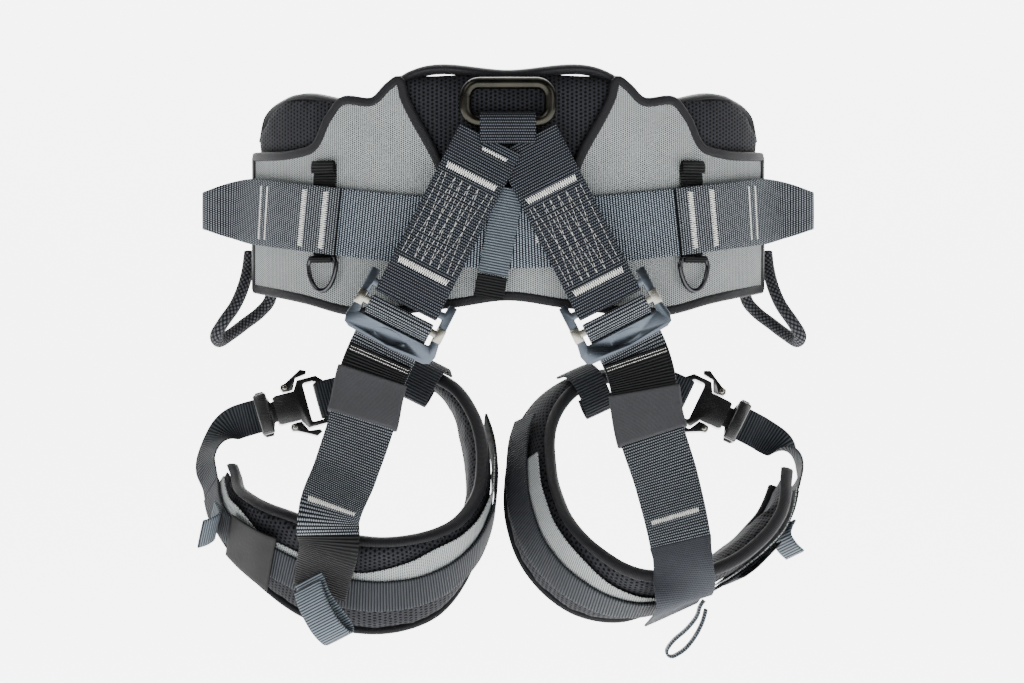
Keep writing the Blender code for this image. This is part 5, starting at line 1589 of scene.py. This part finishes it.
    def strap(self, name: str, rows: Sequence, width: float, finish: Finish, node: str, count: int = 24,
              thickness: float = WEB_THICKNESS) -> Course:
        """Webbing through rows of a point and a way out."""
        course = Course.along_keys([(*p, *n) for p, n in rows], width, count)
        self.workshop.piece(name, ribbon(name, course, thickness, 1.2 * MM), finish, self.body, [node])
        return course.fine(FINE_STEP)

    def trims(self) -> None:
        """The cover, the strap tab and the two soft loops."""
        word, top = self.side.word, TRIM_DEPTH
        cover = self.layer(COVER_SPAN, top + 0.3 * MM, self.half * 0.66)
        self.workshop.piece("thigh_cover_" + word, ribbon("thigh_cover", cover, THIN_WEB, 1.5 * MM,
                                                          ripple=0.3 * MM, columns=16),
                            LEATHER, self.body, ["leg_cover_" + word])
        spot, out, _, run, _ = self.station(TAB_SHARE)
        base = spot + out * (top + 1 * MM)
        tab = [(base - run * 7 * MM, out), (base - run * 2 * MM + out * 0.3 * MM, out),
               (base + run * 3 * MM + out * 2 * MM, out - run * 0.5), (base + run * 6 * MM + out * 8 * MM,
               out * 0.3 - run),
               (base + run * 7 * MM + out * 16 * MM, -run)]
        self.strap("strap_tab_" + word, tab, LEG_BAND, LOOP_WEBBING, "leg_tab_" + word, 14)
        self.tail_loop()
        self.front_loop()

    def tail_loop(self) -> None:
        """The teardrop of webbing beside the riser's sewn end."""
        share, over, on, above = self.shape.tail
        spot, out, wide, run, _ = self.station(share)
        base = spot + out * (TRIM_DEPTH + above * MM) + wide * over * MM + run * on * MM
        way = self.shape.tail_way
        ahead = (run * way[0] + wide * way[1] + out * way[2]).normalized()
        lift = (out - out.dot(ahead) * ahead).normalized()
        if self.side is Side.RIGHT:
            edge = wide - wide.dot(ahead) * ahead
            lift = (lift - lift.dot(edge) * edge / edge.length_squared).normalized()
        long = TAIL_LOOP_REACH
        path = np.array(((0, 0), (4, 0.8), (10, 4.2), (20, 6.3), (long - 6, 7), (long - 1.2, 8.6), (long, 11),
                         (long - 1.2, 13.4), (long - 6, 15), (20, 13.8), (10, 9.8), (3, 5.2)))
        ring = [(base + ahead * a * MM + lift * b * MM, ahead * up - lift * on)
                for (a, b), (on, up) in zip(path, np.gradient(path, axis=0))]
        self.strap("tail_loop_" + self.side.word, ring, LEG_BAND, LOOP_WEBBING,
                   "leg_tail_loop_" + self.side.word, 30)

    def front_loop(self) -> None:
        """The soft loop at the front of the thigh."""
        spot, out, wide, _, half = self.station(FRONT_LOOP_SHARE)
        base = spot + out * (LEG_PAD_THICKNESS / 2 + CLEAR + WEB_THICKNESS / 2 + 0.4 * MM)
        edge = half / MM
        route = ((-4, 0, 1, 0), (edge - 2, 0.2, 1, 0), (edge + 4, -4, 0.5, 0.9), (edge + 7, -14, 0, 1),
                 (edge + 7, -26, 0, 1), (edge + 4.6, -30, -1, 0), (edge + 2.4, -26, 0, -1), (edge + 2.2,
                 -17, 0, -1))
        eye = [(base - wide * along * MM + out * up * MM, out * a - wide * b) for along, up, a, b in route]
        self.strap("front_loop_" + self.side.word, eye, LEG_FRONT_WEB, BAND_WEBBING,
                   "leg_front_loop_" + self.side.word, 26)


@dataclass
class Buckle:
    """A leg loop's buckle, the webbing round its end bar and the strap from its tongue."""

    leg: LegLoop

    def matrix(self) -> Matrix:
        """The buckle's frame: X from the tongue to the body, Z out of the wearer."""
        shape = self.leg.shape
        x = Vector(shape.along).normalized()
        z = (Vector(shape.out) - Vector(shape.out).dot(x) * x).normalized()
        return Matrix.Translation(Vector(shape.mouth) * MM) @ Matrix((x, z.cross(x), z)).transposed().to_4x4()

    def build(self, band: Course) -> None:
        """Build the buckle and its straps.

        Args:
            band: The webbing on the pad that the strap joins.
        """
        leg, word, shop = self.leg, self.leg.side.word, self.leg.workshop
        matrix = self.matrix()
        prefix = "leg_buckle_" + word
        shop.hard(prefix + "_body", BLACK_METAL, leg.body, 1.1 * MM)
        shop.hard(prefix + "_tongue", BLACK_METAL, leg.body, 0.5 * MM)
        half = LEG_BAND / 2 + 4 * MM
        for sign, level in ((1, "upper"), (-1, "lower")):
            lever = f"leg_lever_{level}_{word}"
            shop.hard(f"{prefix}_lever_{level}", BLACK_METAL, lever, 0.8 * MM)
            at = matrix @ Matrix.Translation((2 * MM, sign * (half - 6.5 * MM + 3.8 * MM), 0))
            shop.pin(f"rivet_{level}_{word}", at, 1.7 * MM, BUCKLE_THICKNESS + 1.4 * MM, SILVER, lever)
        latch = matrix @ Matrix.Translation((-4.5 * MM, 0, 2.6 * MM))
        shop.block("latch_" + word, latch, (4 * MM, 9 * MM, 2 * MM), SILVER, leg.body, 0.7 * MM)
        raised = matrix @ Matrix.Translation((-16.2 * MM, 0, 4.2 * MM)) @ Matrix.Rotation(math.radians(-8),
                4, "Y")
        shop.block("strap_block_" + word, raised, (9 * MM, LEG_BAND + 3 * MM, 3.4 * MM), BLACK_METAL,
                   leg.body, 1.4 * MM)
        self.webbing(matrix)
        self.strap(matrix, band)

    def webbing(self, matrix: Matrix) -> None:
        """The webbing sewn round the body's end bar."""
        bar = LEG_BUCKLE_LENGTH - END_BAR / 2
        wrap = END_BAR / 2 + WRAP_CLEAR + THIN_WEB / 2
        deep = BUCKLE_THICKNESS / 2 + WRAP_CLEAR + THIN_WEB / 2
        profile = [(-(bar + 11 * MM), deep - 1.0 * MM), (-(bar + 6 * MM), deep)]
        profile += wrap_round(-bar, wrap, deep)
        profile += [(-(bar + 6 * MM), -deep), (-(bar + 11 * MM), -deep + 1.0 * MM)]
        course = Course.in_frame(matrix @ Matrix.Rotation(-math.pi / 2, 4, "Z"), profile,
                                 LEG_BAND - 1 * MM, 50)
        name = "buckle_web_" + self.leg.side.word
        self.leg.workshop.piece(name, ribbon(name, course, THIN_WEB, 1 * MM), BAND_WEBBING, self.leg.body,
                                ["leg_buckle_web_" + self.leg.side.word])

    def strap(self, matrix: Matrix, band: Course) -> None:
        """The strap from the tongue's slot to the pad."""
        leg, turn = self.leg, matrix.to_3x3()
        start, out, run = (Vector(v[0]) for v in (band.points, band.normals, leg.runs[1:2]))
        x, z = turn @ Vector((1, 0, 0)), turn @ Vector((0, 0, 1))
        rows = [(matrix @ Vector((u * MM, 0, w * MM)), z * a - x * b)
                for u, w, a, b in ((-15.0, -7, 0, -1), (-15.1, -2, 0, -1), (-15.6, 1.0, 0.4, -0.9),
                                   (-17.6, 2.7, 1, 0),
                                   (-21, 2.4, 1, 0), (-27, 1.4, 1, 0.2), (-35, -3, 0.9, 0.5))]
        rows += [(start - run * 22 * MM + Vector((leg.side.value * 1 * MM, 0, 0)), out * 0.8 + z * 0.2),
                 (start - run * 9 * MM, out), (start - run * 1.5 * MM, out)]
        leg.strap("closing_strap_" + leg.side.word, rows, LEG_BAND - 2 * MM, BAND_WEBBING,
                  "leg_strap_" + leg.side.word, 34, THIN_WEB)


@dataclass
class FrontClosure:
    """The front belts and the buckle that closes them."""

    workshop: Workshop

    def build(self) -> None:
        """Build the front of the waist."""
        edge, _ = wall(PAD_REACH, 0, belt_height(PAD_REACH))
        for side in Side:
            end = 21 * MM if side is Side.LEFT else 42 * MM
            route = [(edge[0] - 4 * MM, edge[1] + 8 * MM, 1, 0.0), (edge[0] - 4 * MM, edge[1] + 30 * MM, 1,
                    0.1),
                     (edge[0] - 22 * MM, edge[1] + 68 * MM, 1, 0.6), (edge[0] - 60 * MM,
                     edge[1] + 104 * MM, 0.7, 1),
                     (edge[0] - 102 * MM, FRONT_BELT_Y - 6 * MM, 0.2, 1), (end, FRONT_BELT_Y, 0, 1)]
            keys = [(side.value * x, y, edge[2] - 8 * MM * i / 5, side.value * nx, ny, 0)
                    for i, (x, y, nx, ny) in enumerate(route)]
            name = "front_belt_" + side.word
            course = Course.along_keys(keys, BELT_WIDTH, 24)
            self.workshop.piece(name + "_web", ribbon(name, course, WEB_THICKNESS), WEBBING, "waist", [name])
        self.workshop.hard("front_buckle_body", BLACK_METAL, "waist", 1.2 * MM)
        self.workshop.hard("front_buckle_tongue", BLACK_METAL, "waist", 0.6 * MM)
        self.workshop.hard("front_buckle_lever_upper", BLACK_METAL, "front_lever", 0.8 * MM)


@dataclass
class StrapAdjuster:
    """One steel adjuster: its frame and the loose bar that grips the riser."""

    side: Side
    workshop: Workshop

    def build(self) -> None:
        """Build the adjuster."""
        word = self.side.word
        face = adjuster_matrix(self.side) @ Matrix.Translation((0, -14.5 * MM, ADJUSTER_PLATE / 2 + 0.5 * MM))
        dish = face @ Matrix.Diagonal((*DISH_SIZE, 1))
        self.workshop.hard("adjuster_frame_" + word, STEEL, "waist", 1.5 * MM, 5, dish)
        self.workshop.hard("adjuster_bar_" + word, SILVER, "adjuster_" + word, 0.7 * MM, 3)


@dataclass
class Studio:
    """A pale floor that curves up behind, soft lights and the camera."""

    workshop: Workshop

    def build(self) -> None:
        """Build the studio round the hanging saddle."""
        floor, back, bend = FLOOR_LEVEL, BACKDROP_Y, BACKDROP_BEND
        line = [(y, floor) for y in np.linspace(-6, back - bend, 6)]
        line += [(back - bend + bend * math.sin(a), floor + bend * (1 - math.cos(a)))
                 for a in np.linspace(0.1, math.pi / 2, 16)]
        line += [(back, z) for z in np.linspace(floor + bend + 0.4, 5, 5)]
        mesh = bmesh.new()
        rows = [[mesh.verts.new((x, y, z)) for x in (-7, 7)] for y, z in line]
        for first, second in zip(rows, rows[1:]):
            mesh.faces.new((first[0], first[1], second[1], second[0]))
        self.workshop.thing("studio_floor", meshed("studio_floor", mesh), PAPER)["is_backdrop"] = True
        for name, place, size, power in LIGHTS:
            self.light(name, place, size, power)
        world = bpy.data.worlds.new("studio")
        world.use_nodes = True
        world.node_tree.nodes["Background"].inputs[0].default_value = (1, 1, 1, 1)
        world.node_tree.nodes["Background"].inputs[1].default_value = WORLD_STRENGTH
        bpy.context.scene.world = world
        camera = bpy.data.cameras.new("camera")
        camera.sensor_width = CAMERA_SENSOR
        camera.lens = CAMERA_LENS
        view = linked("camera", camera)
        view.location = CAMERA_PLACE
        view.rotation_euler = (math.pi / 2, 0, 0)
        bpy.context.scene.camera = view

    def light(self, name: str, place: tuple[float, float, float], size: float, power: float) -> None:
        """A square soft light aimed at the saddle."""
        lamp = bpy.data.lights.new(name, "AREA")
        lamp.size = size
        lamp.energy = power
        made = linked(name, lamp)
        made.location = place
        made.rotation_euler = (Vector(LIGHT_AIM) - Vector(place)).to_track_quat("-Z", "Y").to_euler()


def corners() -> list[list[float]]:
    """The shown object's lowest and highest corners, as plain lists."""
    return [[float(v) for v in corner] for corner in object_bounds()]


def main() -> None:
    """Build the whole picture."""
    logging.basicConfig(level=logging.INFO, format="%(name)s: %(message)s")
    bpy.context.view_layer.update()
    workshop = Workshop(Painter())
    seamstress = Seamstress(workshop)
    Waist(workshop, seamstress).build()
    Suspension(workshop, seamstress).build()
    for side in Side:
        SideLoop(side, workshop, seamstress).build()
        GearPoint(side, workshop, seamstress).build()
        StrapAdjuster(side, workshop).build()
        LegLoop(side, workshop, seamstress).build()
    FrontClosure(workshop).build()
    seamstress.finish()
    Studio(workshop).build()


if __name__ == "__main__":
    main()
